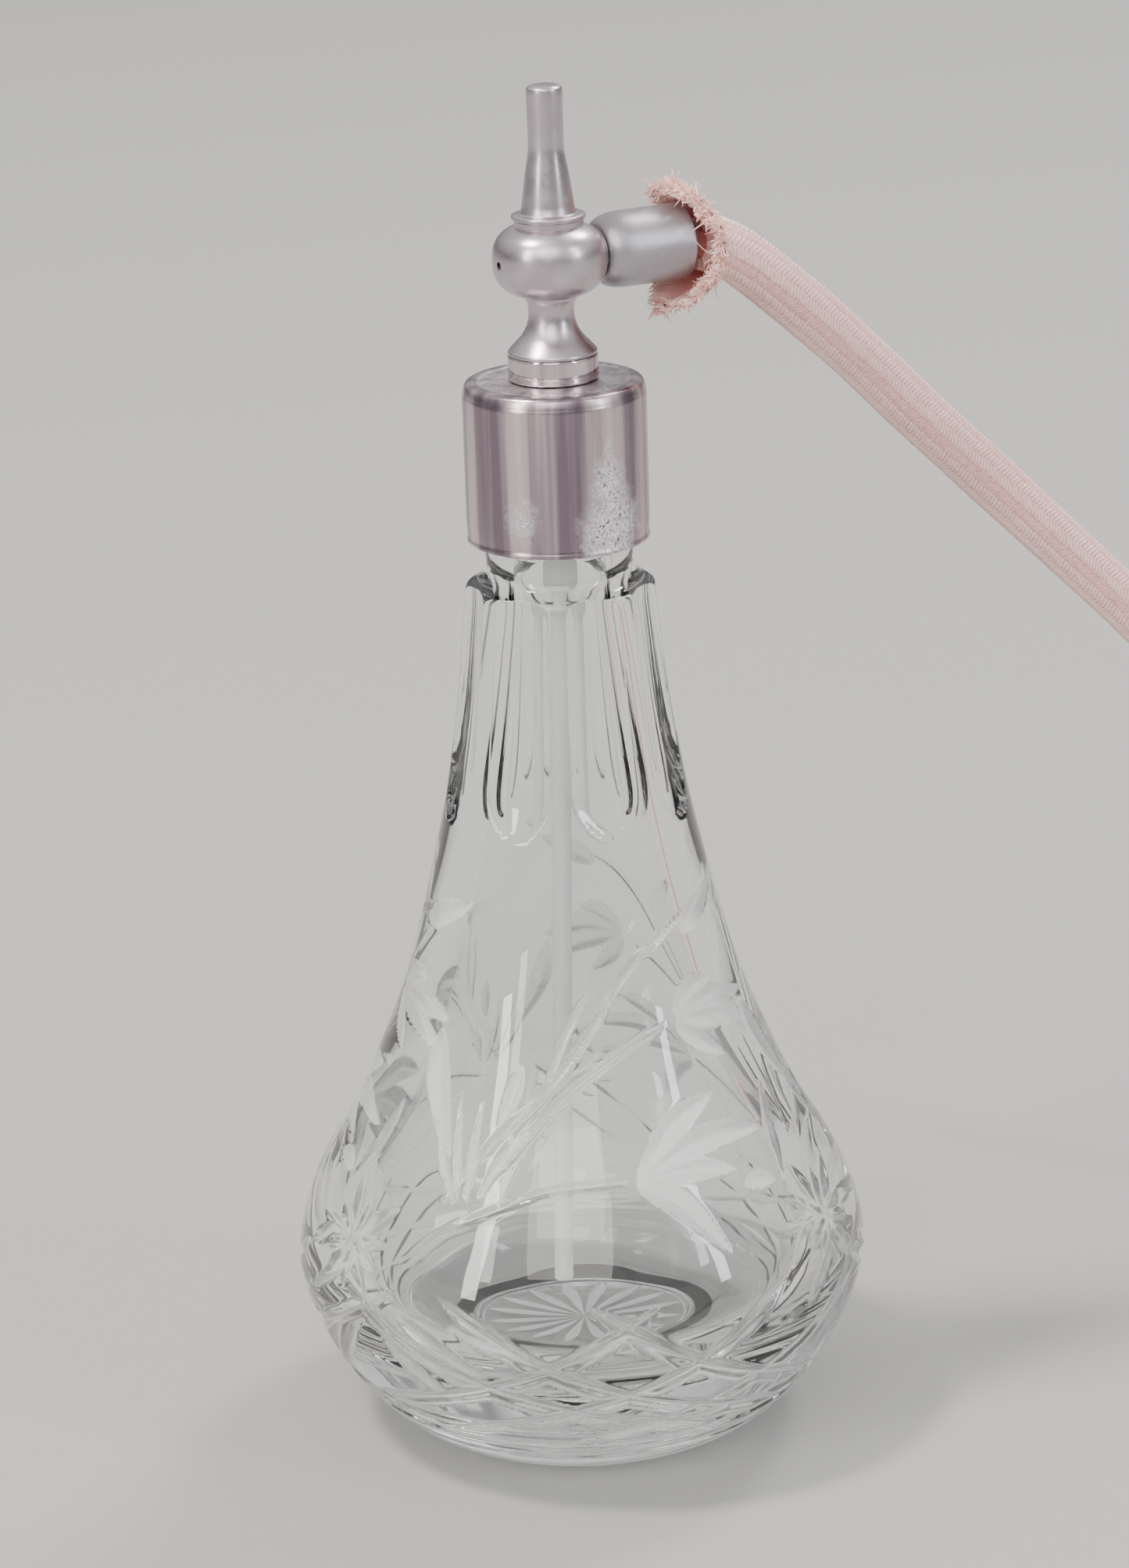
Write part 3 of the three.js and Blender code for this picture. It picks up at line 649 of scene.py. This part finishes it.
def glass_profile():
    """[radius, height] rows from under the base, up and in again, the number of them in the
    star, and the slices that are the wall, and the wall with its shoulder."""
    lower_t = np.linspace(0, math.pi / 2, 14)[1:]
    lower = np.stack([
        FOOT_RADIUS + (WIDEST_RADIUS - FOOT_RADIUS) * np.sin(lower_t) ** (2 / 1.55),
        WIDEST_Z * (1 - np.cos(lower_t) ** (2 / 1.55)),
    ], axis=1)
    wall = curve_through([(FOOT_RADIUS, 0.1), *lower.tolist(), *BODY], 0.3)
    outer = np.vstack([wall[wall[:, 1] < 75], resampled(wall[wall[:, 1] >= 75], 0.55)])
    star_rows = np.linspace(0.35, STAR_RADIUS, 42)
    star = np.stack([star_rows, STAR_DEPTH - 0.64 * star_rows / STAR_RADIUS], axis=1)
    foot = rounded([(14.4, 0.96), (15.2, 0.3), (15.9, 0), (19.3, 0), (19.5, 0.1)], 0.4)
    shoulder = rounded(
        [(11.6, 106.2), (11.45, 107.6, 0.8), (10.2, 108.1, 0.9), (8.9, 109.2, 0.8), (8.9, 112.6),
         (8.2, 113), (8.2, 127.6), (5.6, 127.6), (5.6, 127.4)], 0.3, 6,
    )
    rows = np.vstack([star, foot[1:], outer[1:-1], shoulder, curve_through(CAVITY, 1.5)[1:-1]])
    first = len(star) + len(foot) - 1
    last = first + len(outer) - 2
    return rows, len(star), slice(first, last), slice(first, last + len(shoulder))


def engrave(rows, wall, degrees, cut, frost):
    """Cuts the strokes and rings into the wall: their depth goes into cut, their matt into frost."""
    wall_r, wall_z = rows[wall].T
    for line, widths, frosting in glass_cuts():
        margin = widths.max() + 0.4
        low, high = line[:, 1].min() - margin, line[:, 1].max() + margin
        picked = wall.start + np.nonzero((wall_z > low) & (wall_z < high))[0]
        mean_r = np.interp(line[:, 1].mean(), wall_z, wall_r)
        spread = math.degrees(margin / max(min(mean_r, wall_r[0]), 10)) + 1
        middle = (line[:, 0].min() + line[:, 0].max()) / 2
        half = (line[:, 0].max() - line[:, 0].min()) / 2 + spread
        away = (degrees - middle + 180) % 360 - 180
        at = np.nonzero(np.abs(away) < half)[0]
        on_r = np.interp(line[:, 1], wall_z, wall_r)
        on = np.radians(line[:, 0] - middle)
        stroke = np.stack([on_r * np.cos(on), on_r * np.sin(on), line[:, 1]], axis=1)
        theta = np.radians(away[at])
        rr, zz = rows[picked, 0], rows[picked, 1]
        grid = np.stack([
            rr[:, None] * np.cos(theta), rr[:, None] * np.sin(theta),
            np.repeat(zz[:, None], len(at), axis=1),
        ], axis=-1).reshape(-1, 3)
        best = np.zeros(len(grid))
        matt = np.zeros(len(grid))
        for k in range(0, len(grid), CHUNK):
            chunk = grid[k:k + CHUNK]
            gap = np.linalg.norm(chunk[:, None] - stroke[None], axis=2) / widths[None]
            nearest = gap.argmin(axis=1)
            share = 1 - gap[np.arange(len(chunk)), nearest]
            best[k:k + CHUNK] = np.clip(share, 0, 1) * widths[nearest]
            matt[k:k + CHUNK] = np.where(share > 0, frosting, 0)
        depth = (best * (0.3 if frosting > GROUND else 0.52)).reshape(len(picked), len(at))
        index = np.ix_(picked, at)
        cut[index] = np.maximum(cut[index], depth)
        frost[index] = np.maximum(frost[index], matt.reshape(depth.shape))
    for height, width in RINGS:
        ring = np.clip(1 - np.abs(wall_z - height) / width, 0, 1)[:, None] * width * 0.55
        cut[wall] = np.maximum(cut[wall], ring)


def flute_depth(heights, degrees):
    """Depth of the long hollow flutes, which run out in a round end below."""
    offset = (degrees - FLUTE_PHASE + 180 / FLUTES) % (360 / FLUTES) - 180 / FLUTES
    below = np.clip(FLUTE_END - heights, 0, None) / FLUTE_RUNOUT
    closing = np.sqrt(np.clip(1 - below ** 2, 0, 1))[:, None]
    half_width = FLUTE_HALF_WIDTH * closing + 1e-6
    return FLUTE_DEPTH * closing * np.clip(1 - (offset[None] / half_width) ** 2, 0, 1)


def star_depth(reach, degrees):
    """Depth of the star cut under the base, whose rays are long leaves."""
    angle = np.radians((degrees * STAR_RAYS / 2) % 180 - 90) / (STAR_RAYS / 2)
    leaf = (0.12 * reach * (1 - np.clip((reach - 0.6) / 13.6, 0, 1) ** 4))[:, None]
    gap = np.abs(reach[:, None] * np.tan(angle)[None]) / (leaf + 1e-6)
    return np.clip(1 - gap, 0, 1) * leaf * 1.15


def glass_bottle():
    """The bottle in one mesh, each point moved in along its normal by the depth of its cut."""
    degrees = np.arange(GLASS_COLUMNS) / GLASS_COLUMNS * 360 - 180
    azimuth = np.radians(degrees + FACING)
    rows, star_count, wall, fluted = glass_profile()
    tangent = np.gradient(rows, axis=0)
    tangent /= np.linalg.norm(tangent, axis=1)[:, None]
    normal = np.stack([tangent[:, 1], -tangent[:, 0]], axis=1)
    r = np.repeat(rows[:, :1], GLASS_COLUMNS, axis=1)
    z = np.repeat(rows[:, 1:], GLASS_COLUMNS, axis=1)
    cut = np.zeros_like(r)
    frost = np.zeros_like(r)
    engrave(rows, wall, degrees, cut, frost)
    scoop = flute_depth(rows[fluted, 1], degrees)
    on_body = rows[fluted, 1] <= SHOULDER_Z
    carved, narrowed = cut[fluted], r[fluted]
    carved[on_body] = np.maximum(carved[on_body], scoop[on_body])
    narrowed[~on_body] = np.minimum(narrowed[~on_body], SHOULDER_RADIUS - scoop[~on_body])
    cut[:star_count] = star_depth(rows[:star_count, 0], degrees)
    frost[:star_count] = np.clip(cut[:star_count] * 8, 0, 1.5)
    r = r - normal[:, :1] * cut
    z = z - normal[:, 1:] * cut
    points = np.stack([r * np.cos(azimuth), r * np.sin(azimuth), z], axis=-1).reshape(-1, 3)
    points = np.vstack([points, [[0, 0, STAR_DEPTH], [0, 0, CAVITY[-1][1]]]])
    faces = [grid_faces(len(rows), GLASS_COLUMNS), *end_fans(len(rows), GLASS_COLUMNS)]
    values = np.concatenate([frost.ravel(), [0, 0]])
    return new_object(
        "cut_glass_bottle", points, facing_out(points, faces), GLASS, {"frost": values}
    )


place(glass_bottle(), "bottle", "glass", "glass_bottle_lower", "glass_bottle_upper")

# ---- head: turned metal pieces ----

BALL_RADIUS, BALL_HALF_HEIGHT, BALL_FULLNESS = 6.8, 4.6, 2.63

# Each worn patch of the collar: degrees round from the facing side, height, half width in
# degrees, half height, and how worn.
WEAR_PATCHES = [
    (37, 116.5, 25, 5.5, 0.8), (34, 121.5, 14, 4.5, 0.72), (34, 125.5, 6, 3, 0.5),
    (20, 115.2, 10, 3, 0.55), (-23, 118, 15, 4, 0.5), (150, 118, 34, 6, 0.66),
    (-118, 117, 26, 4.5, 0.55), (92, 115, 12, 3, 0.45),
]


def collar():
    """The screw collar, with extra rows down its side to hold the wear."""
    outline = rounded([
        (3.7, 132.45), (3.7, 131.55), (9.9, 131.5), (10.3, 131.1), (10.3, 113.25), (10.55, 113.2),
        (10.95, 113.25, 0.2), (11.0, 113.55, 0.2), (10.9, 113.85, 0.15), (10.86, 114.1, 0.1),
        (10.92, 114.5), (11.0, 116), (11.0, 131.2, 0.9), (10.6, 132.45, 0.8), (9.5, 132.6, 0.4),
        (8.9, 132.4, 0.3), (8.3, 132.55, 0.4), (4.2, 132.6, 0.2), (3.7, 132.45),
    ], 0.15, 5)
    tall = np.linspace(116, 131, 40)
    split = np.argmax((outline[:, 0] > 10.99) & (outline[:, 1] > 115.5))
    rows = np.vstack([
        outline[:split + 1],
        np.stack([np.full(len(tall), 11.0), tall], axis=1),
        outline[split + 1:][outline[split + 1:, 1] > 131],
    ])
    piece = lathe("screw_collar_shell", rows, COLLAR, segments=240, sharp=50)
    co = np.empty(len(piece.data.vertices) * 3, np.float32)
    piece.data.vertices.foreach_get("co", co)
    co = co.reshape(-1, 3) / MM
    turned = np.degrees(np.arctan2(co[:, 1], co[:, 0])) - FACING
    wear = np.zeros(len(co))
    for angle, height, half_width, half_height, strength in WEAR_PATCHES:
        gap = ((turned - angle + 180) % 360 - 180) / half_width
        rise = (co[:, 2] - height) / half_height
        wear = np.maximum(wear, strength * np.exp(-gap ** 2 - rise ** 2))
    on_top = (co[:, 2] > 132.2) & (np.hypot(co[:, 0], co[:, 1]) < 9.2)
    wear = np.where(on_top, 0.42, wear)
    layer = piece.data.attributes.new("wear", "FLOAT", "POINT")
    layer.data.foreach_set("value", wear.astype(np.float32))
    return piece


place(collar(), "collar", "collar_chrome", "screw_collar")

place(
    lathe("neck_sleeve", rounded([
        (8.35, 113.5), (9.1, 113.5), (9.1, 127.9), (8.8, 128.2), (6.0, 128.2), (6.0, 127.75),
        (8.35, 127.75), (8.35, 113.5),
    ]), BRASS),
    "bottle", "brass", "neck_ferrule",
)
place(
    lathe("sealing_washer", rounded([
        (3.7, 128.25), (8.6, 128.25), (8.6, 129.95), (3.7, 129.95), (3.7, 128.25),
    ]), WASHER_RUBBER),
    "gasket", "washer_rubber", "seal_washer",
)
place(
    lathe("captive_flange", rounded([
        (2.7, 130.0), (8.8, 130.0), (8.8, 131.2), (2.7, 131.2), (2.7, 130.0),
    ]), BRASS),
    "head", "brass", "head_flange",
)
place(
    lathe("plinth_ring", rounded([
        (3.3, 132.72), (5.3, 132.72), (5.4, 132.9), (5.4, 135.5), (5.32, 135.66), (3.3, 135.66),
        (3.3, 132.72),
    ], 0.06), POLISHED),
    "head", "polished_nickel", "pedestal_ring",
)
place(
    lathe("baluster_stem", rounded([
        (1.4, 127.1), (2.5, 127.1), (2.5, 131.4), (3.1, 131.4), (3.1, 135.7), (5.25, 135.7),
        (5.34, 135.82, 0.08), (5.32, 136.1, 0.15), (4.55, 136.95, 0.5), (3.7, 137.8, 0.8),
        (3.1, 138.8, 0.8), (2.78, 139.9, 0.8), (2.7, 140.9, 0.8), (2.85, 141.9, 0.6),
        (3.15, 142.4, 0.3), (3.2, 143.0), (2.2, 143.0), (2.2, 144.6), (1.4, 144.6), (1.4, 127.1),
    ], 0.1, 5), NICKEL),
    "head", "nickel", "pedestal_stem",
)


def ball():
    """The plump ball, with the spray hole bored in the side away from the barrel."""
    t = np.radians(np.linspace(-90, 90, 73))[1:-1]
    out = np.abs(np.cos(t)) ** (2 / BALL_FULLNESS) * BALL_RADIUS
    up = np.sign(np.sin(t)) * np.abs(np.sin(t)) ** (2 / BALL_FULLNESS) * BALL_HALF_HEIGHT
    outline = [(0, BALL_Z - BALL_HALF_HEIGHT), *zip(out, BALL_Z + up),
               (0, BALL_Z + BALL_HALF_HEIGHT)]
    piece = lathe("ball_head_body", outline, NICKEL, segments=128)
    # the bore's walls take the near-black metal: painted shade inside the spray hole
    bore = lathe("bore", [(0, -9), (0.46, -9), (0.46, -6.1), (1.3, -5.9), (1.3, -3), (0, -3)],
                 HOLE_SHADE, "X", (0, 0, BALL_Z), 40)
    carve = piece.modifiers.new("carve", "BOOLEAN")
    carve.operation = "DIFFERENCE"
    carve.solver = "EXACT"
    carve.material_mode = "TRANSFER"
    carve.object = bore
    result = bpy.data.meshes.new_from_object(piece.evaluated_get(
        bpy.context.evaluated_depsgraph_get()))
    piece.modifiers.clear()
    piece.data = result
    bpy.data.objects.remove(bore)
    return piece


place(ball(), "head", "nickel", "ball_head")


def spray_tip():
    """The orifice insert, just behind the hole in the ball, opposite the barrel."""
    # the insert is near black: painted shade seen through the hole
    return lathe("orifice_insert", rounded([
        (0.3, -4.6), (1.28, -4.6), (1.28, -5.8), (0.6, -5.95), (0.3, -5.9), (0.3, -4.6),
    ], 0.05, 3), HOLE_SHADE, "X", (0, 0, BALL_Z), 40)


place(spray_tip(), "head", "nickel", "spray_nozzle")

place(
    lathe("finial", rounded([
        (0, 150.2), (4.0, 150.7), (4.15, 151.0), (4.12, 151.75, 0.1), (4.42, 151.95, 0.12),
        (4.4, 152.35, 0.12), (4.0, 152.5, 0.1), (3.35, 152.55, 0.15), (3.12, 153.4, 0.3),
        (2.98, 154.6, 0.6), (2.7, 156.6, 0.8), (2.3, 158.9, 0.9), (2.12, 160.1, 0.6),
        (2.1, 162.5, 0.5), (2.16, 166.6, 0.3), (2.1, 167.3, 0.2), (1.6, 167.6, 0.3), (0, 167.6),
    ], 0.15, 5), NICKEL),
    "head", "nickel", "finial_spike",
)
place(
    lathe("barrel", rounded([
        (1.0, 4.3), (2.8, 4.3), (2.8, 6.35), (3.35, 6.3, 0.2), (3.85, 6.75, 0.4),
        (4.2, 7.4, 0.4), (4.45, 8.3, 0.5), (4.55, 9.4, 0.6), (4.55, 17.45, 0.15),
        (4.3, 17.8, 0.15), (3.1, 17.8), (2.9, 17.6), (2.9, 9.2), (1.0, 9.2), (1.0, 4.3),
    ], 0.12, 5), SATIN, "X", (0, 0, BALL_Z)),
    "head", "satin_nickel", "barrel_connector",
)

# ---- dip tube ----

TUBE_TOP, TUBE_LENGTH, TUBE_LEAN, TUBE_AZIMUTH = 108.7, 93.0, 1.5, 152.0


def dip_tube():
    """The suction tube, which hangs a little off the vertical."""
    lean, azimuth = math.radians(TUBE_LEAN), math.radians(TUBE_AZIMUTH)
    piece = lathe("suction_tube", rounded([
        (0.7, -TUBE_LENGTH), (1.2, -TUBE_LENGTH), (1.2, 0), (0.7, 0), (0.7, -TUBE_LENGTH),
    ], 0.1), PLASTIC, segments=40)
    turn = Matrix.Rotation(azimuth, 4, "Z") @ Matrix.Rotation(-lean, 4, "Y")
    piece.data.transform(Matrix.Translation((0, 0, TUBE_TOP * MM)) @ turn)
    return piece


place(dip_tube(), "head", "clear_plastic", "dip_tube")

# ---- frayed end of the braid, teased out round the barrel's mouth ----


FRAY_ROOT = 3.38                      # radius where the flare starts
FRAY_COLUMNS, FRAY_ROWS = 144, 16
FRAY_TUFTS, FRAY_THREADS = 2600, 26


def fray_point(phi, t, ragged):
    """A point of the flared sleeve: t runs from its root on the hose to its ragged rim."""
    up = np.sin(phi)
    toward = np.clip(-np.cos(phi), 0, 1)
    rim_radius = 5.7 + np.where(up < 0, 1.7, 1.2) * np.abs(up) ** 1.3
    near = toward * (1 - up ** 2)
    rim_x = 18.6 - 2.1 * np.abs(up) ** 1.6 + 1.5 * near
    reach = t * (0.8 + 0.36 * ragged)
    radius = FRAY_ROOT + (rim_radius - FRAY_ROOT) * reach ** 0.8
    radius = radius + 0.3 * np.sin(9 * phi + 2 * ragged) * reach
    root_x = 22.7 - 0.7 * near
    x = root_x + (rim_x - root_x) * reach ** 1.25
    droop = -1.25 * np.clip(1 - t, 0, 1) ** 1.3 - 0.3 * reach * np.where(up < 0, 1, 0)
    return np.stack([x, radius * np.cos(phi), radius * up + droop], axis=-1)


def flare(ragged):
    """The flared sleeve, pale and woolly outside and red inside."""
    phi = np.arange(FRAY_COLUMNS) / FRAY_COLUMNS * TAU
    t = np.linspace(0, 1, FRAY_ROWS)[:, None]
    outside = fray_point(phi[None], t, ragged[None])
    direction = outside.copy()
    direction[..., 0] = -1.6
    direction[..., 1:] *= -1 / np.linalg.norm(outside[..., 1:], axis=-1, keepdims=True)
    lump = 0.5 + 0.7 * rng.uniform(0, 1, (FRAY_ROWS, FRAY_COLUMNS, 1)) * t[..., None]
    inside = outside + direction / np.linalg.norm(direction, axis=-1, keepdims=True) * lump
    weave = 0.3 * rng.standard_normal(outside.shape)
    outside = outside + weave * t[..., None]
    points = np.concatenate([outside, inside[::-1]]).reshape(-1, 3)
    points[:, 2] += BALL_Z
    pale = 0.55 + 0.3 * rng.uniform(0, 1, (FRAY_ROWS, FRAY_COLUMNS))
    red = 0.02 + 0.62 * t ** 1.3 + 0.15 * rng.uniform(0, 1, (FRAY_ROWS, FRAY_COLUMNS))
    relief = np.concatenate([pale, red[::-1]]).ravel()
    faces = facing_out(points, [grid_faces(2 * FRAY_ROWS, FRAY_COLUMNS, wrap_rows=True)])
    return points, faces, {"relief": relief}


def tuft(ragged):
    """Where a short fibre of the flare starts, about in line with it, and how it bends."""
    at = rng.uniform(0, TAU)
    loft = 0.45 + 0.6 * rng.uniform(0, 1) ** 0.5
    base = fray_point(at, loft, ragged[int(at / TAU * FRAY_COLUMNS) % FRAY_COLUMNS])
    aim = fray_point(at, loft + 0.15, 0.5) - fray_point(at, loft, 0.5)
    aim = aim / np.linalg.norm(aim) + rng.normal(0, 0.4, 3)
    aim /= np.linalg.norm(aim)
    bend = rng.normal(0, 0.7, 3)
    return base, aim, bend


def frayed_end():
    """The flare with short tufts all over it and a few long loose threads."""
    coarse = np.interp(np.arange(FRAY_COLUMNS), np.arange(0, FRAY_COLUMNS + 1, 8),
                       np.append(rng.uniform(0, 1, FRAY_COLUMNS // 8), 0.5))
    ragged = 0.75 * coarse + 0.25 * rng.uniform(0, 1, FRAY_COLUMNS)
    points, faces, attributes = flare(ragged)
    lines, radii, reliefs = [], [], []
    s = np.linspace(0, 1, 6)[:, None]
    for n in range(FRAY_TUFTS):
        base, aim, bend = tuft(ragged)
        size = rng.uniform(0.45, 1.15) if n % 16 else rng.uniform(1.1, 1.9)
        lines.append(base + aim * s * size + bend * s ** 2 * size * 0.6 + [0, 0, BALL_Z])
        radii.append(rng.uniform(0.05, 0.15) * np.array([1, 1, 0.95, 0.9, 0.75, 0.35]))
        reliefs.append(rng.uniform(0.45, 1.0))
    s = np.linspace(0, 1, 12)[:, None]
    for _ in range(FRAY_THREADS):
        at = rng.uniform(0, TAU)
        base = fray_point(at, 0.9, 0.5) + [0, 0, BALL_Z]
        aim = rng.normal(0, 1, 3)
        aim /= np.linalg.norm(aim)
        curl = np.cross(aim, rng.normal(0, 1, 3))
        size = rng.uniform(1.6, 3.4)
        lines.append(base + aim * s * size + curl * np.sin(s * 3.1) * size * 0.35)
        radii.append(np.full(12, 0.032))
        reliefs.append(0.95)
    tubes = strands("fray_strands", lines, radii, 5, FRAY, reliefs)
    sleeve = new_object("frayed_end", points, faces, FRAY, attributes)
    with bpy.context.temp_override(active_object=sleeve, selected_editable_objects=[sleeve, tubes]):
        bpy.ops.object.join()
    return sleeve


frayed = place(frayed_end(), "head", "frayed_yarn", "frayed_braid_end")

# ---- bulb, its net and fittings: local +X runs from the hose's end to the tassel ----

BULB_START = (139, -117, 19.5)
BULB_RADIUS, BULB_HALF_LENGTH, BULB_CENTRE, BULB_WALL = 18.4, 26.0, 32.0, 1.8
VALVE_X = 60.0


def in_bulb(points):
    """Local bulb coordinates to the shared frame."""
    p = np.asarray(points, float)
    turned = np.stack([p[..., 1], -p[..., 0], p[..., 2]], axis=-1)
    return turned + np.array(BULB_START)


def bulb_lathe(name, outline, material):
    piece = lathe(name, outline, material, "X")
    turn = Matrix.Translation(Vector(BULB_START) * MM) @ Matrix.Rotation(-math.pi / 2, 4, "Z")
    piece.data.transform(turn)
    return piece


def egg(x, grow):
    """Radius of the bulb, grown outwards, at a place along it."""
    t = np.clip((np.asarray(x, float) - BULB_CENTRE) / (BULB_HALF_LENGTH + grow), -1, 1)
    return np.maximum((BULB_RADIUS + grow) * np.sqrt(1 - t * t), 4.6 + grow)


def rubber_bulb():
    """The hollow bulb; its wall is BULB_WALL thick."""
    x = BULB_CENTRE - np.cos(np.linspace(0, math.pi, 61)) * (BULB_HALF_LENGTH + 1.5)
    outer = np.stack([egg(x, 0), x], axis=1)
    inner = np.stack([np.maximum(egg(x, -BULB_WALL), 2.8), x], axis=1)[::-1]
    return bulb_lathe("rubber_bulb", np.vstack([outer, inner, outer[:1]]), BULB_RUBBER)


bulb_piece = place(
    rubber_bulb(), "head", "bulb_rubber", "bulb_lower_half", "bulb_upper_half"
)


def net():
    """Two families of yarns that wind opposite ways and pass over and under each other."""
    per_family, turns = 34, 0.62
    x = np.linspace(BULB_CENTRE - 27.0, BULB_CENTRE + 27.0, 150)
    lines, radii, reliefs = [], [], []
    for family in (1, -1):
        for n in range(per_family):
            share = (x - x[0]) / (x[-1] - x[0])
            angle = TAU * (n / per_family + family * turns * share)
            weave = 0.32 * np.cos(TAU * per_family * turns * share + math.pi * n) * family
            radius = egg(x, 0.5) + weave * 0.7
            line = np.stack([x, radius * np.cos(angle), radius * np.sin(angle)], axis=1)
            lines.append(in_bulb(line))
            radii.append(0.33 * np.clip(radius / 12, 0.75, 1))
            reliefs.append(rng.uniform(0.5, 0.95))
    return strands("net_cover", lines, radii, 6, NET, reliefs)


net_piece = place(net(), "head", "net", "net_cover_lower", "net_cover_upper")
for soft in (bulb_piece, net_piece):
    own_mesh(soft)

ferrule = place(
    bulb_lathe("bulb_cup", rounded([
        (3.65, -5), (4.6, -5, 0.2), (4.9, -4.4, 0.2), (4.9, -3.4), (4.7, -3.2), (4.7, -2.6),
        (4.9, -2.4), (4.9, -0.3, 0.3), (6.15, 0.3, 0.3), (6.2, 1.6, 0.3), (5.6, 2.2, 0.3),
        (3.4, 2.6), (2.4, 3.2), (2.4, 9), (1.0, 9), (1.0, 0.4), (3.65, 0.4), (3.65, -5),
    ], 0.15, 5), NICKEL),
    "head", "nickel", "bulb_ferrule",
)
housing = place(
    bulb_lathe("intake_valve_shell", rounded([
        (0.9, VALVE_X - 6), (2.4, VALVE_X - 6), (2.4, VALVE_X + 0.2), (5.9, VALVE_X + 0.6, 0.3),
        (5.9, VALVE_X + 1.8, 0.3), (4.6, VALVE_X + 2.4), (4.6, VALVE_X + 7), (0.9, VALVE_X + 7),
        (0.9, VALVE_X + 6), (2.0, VALVE_X + 4.9), (2.0, VALVE_X + 0.4), (0.9, VALVE_X - 0.8),
        (0.9, VALVE_X - 6),
    ], 0.15, 5), NICKEL),
    "head", "nickel", "intake_valve_housing",
)

# ---- tassel ----

TASSEL_START, TASSEL_LENGTH, TASSEL_DROOP = VALVE_X + 8.4, 48.0, math.radians(12.5)
TASSEL_STRANDS = 420


def binding():
    """Yarn wound round the tassel's head."""
    t = np.linspace(0, 6.5, 420)
    radius = 5.75 + 0.45 * np.sin(math.pi * t / 6.5)
    line = np.stack([
        VALVE_X + 3.05 + 0.48 * t, radius * np.cos(TAU * t), radius * np.sin(TAU * t),
    ], axis=1)
    return strands("tassel_wrap", [in_bulb(line)], [np.full(len(t), 0.42)], 8, TASSEL, [0.8])


wrap = place(binding(), "head", "tassel_yarn", "tassel_binding")


def skirt():
    """The tassel's strands: the outer ones start under the binding, and all droop to the table."""
    lines, radii, reliefs = [], [], []
    for n in range(TASSEL_STRANDS):
        share = math.sqrt((n + 0.5) / TASSEL_STRANDS)
        around = n * 2.39996
        s = np.linspace(0, 1, 30)
        reach = TASSEL_LENGTH * rng.uniform(0.94, 1.0)
        outer = share > 0.75
        root = 4.0 if outer else 0.0
        start_r = (5.1 if outer else 4.2) * share
        x = s * reach - root * (1 - s)
        spread = start_r + (8.3 * share - start_r) * s ** 0.75
        wobble = 0.75 * np.sin(s * rng.uniform(5, 13) + rng.uniform(0, TAU)) * s
        twist = around + 0.12 * np.sin(s * rng.uniform(3, 8)) * s
        y = (spread + wobble) * np.cos(twist)
        z = (spread + 0.6 * wobble) * np.sin(twist)
        drop = TASSEL_DROOP * np.clip(x / 6, 0, 1)
        lx = TASSEL_START + x * np.cos(drop)
        lz = -x * np.sin(drop) + z * np.cos(drop)
        line = in_bulb(np.stack([lx, y, lz], axis=1))
        line[:, 2] = np.maximum(line[:, 2], 0.55)
        lines.append(line)
        radii.append(0.34 * (1 - 0.25 * s))
        reliefs.append(rng.uniform(0.35, 0.95))
    return strands("tassel_strands", lines, radii, 5, TASSEL, reliefs)


tassel = place(skirt(), "head", "tassel_yarn", "tassel_skirt")

# ---- CAD nodes that still show, inside the other pieces ----

for name, material in (
    ("air_jet_tube", BRASS), ("hose_nipple", BRASS), ("dip_tube_plug", PLASTIC),
    ("rubber_hose", HOSE_RUBBER), ("intake_valve_ball", STEEL),
):
    node = frame["nodes"][name]
    node.data.materials.clear()
    node.data.materials.append(material)

# ---- floor, lights and background ----


def floor():
    mesh = bpy.data.meshes.new("floor")
    mesh.from_pydata([(-15, -15, 0), (15, -15, 0), (15, 15, 0), (-15, 15, 0)], [], [(0, 1, 2, 3)])
    material, _, _, shader = new_material("floor_paper")
    shader.inputs["Base Color"].default_value = (0.36, 0.36, 0.357, 1)
    shader.inputs["Roughness"].default_value = 0.75
    mesh.materials.append(material)
    plane = bpy.data.objects.new("floor", mesh)
    bpy.context.scene.collection.objects.link(plane)


def area_light(name, place_at, target, width, height, power, colour):
    data = bpy.data.lights.new(name, "AREA")
    data.shape = "RECTANGLE"
    data.size, data.size_y = width, height
    data.energy = power
    data.color = colour
    light = bpy.data.objects.new(name, data)
    light.location = place_at
    light.rotation_mode = "QUATERNION"
    aim = Vector(target) - Vector(place_at)
    light.rotation_quaternion = aim.to_track_quat("-Z", "Y")
    bpy.context.scene.collection.objects.link(light)


def world():
    made = bpy.data.worlds.new("studio")
    made.use_nodes = True
    nodes, links = made.node_tree.nodes, made.node_tree.links
    direction = nodes.new("ShaderNodeTexCoord").outputs["Generated"]
    split = nodes.new("ShaderNodeSeparateXYZ")
    links.new(direction, split.inputs["Vector"])
    sky = ramp(nodes, links, split.outputs["Z"], [
        (0.0, (0.29, 0.29, 0.29)), (0.06, (0.22, 0.22, 0.225)), (0.2, (0.5, 0.49, 0.49)),
        (0.55, (0.9, 0.89, 0.88)),
    ])
    links.new(sky, nodes["Background"].inputs["Color"])
    nodes["Background"].inputs["Strength"].default_value = 0.98
    bpy.context.scene.world = made


floor()
world()
area_light("key", (-0.9, 0.2, 2.0), (0, 0, 0.06), 0.32, 0.32, 40, (1, 0.95, 0.9))
area_light("left_strip", (-2.2, -0.6, 1.15), (0, 0, 0.1), 0.28, 1.6, 27, (1, 0.96, 0.93))
area_light("right_strip", (1.2, -2.0, 1.15), (0, 0, 0.1), 0.22, 1.5, 19, (0.93, 0.96, 1))
area_light("back", (1.5, 0.5, 1.9), (0.03, 0, 0.1), 0.6, 0.5, 34, (1, 0.97, 0.95))
area_light("front", (-1.0, -1.5, 1.5), (0.02, 0, 0.12), 1.4, 1.4, 27, (1, 0.96, 0.93))
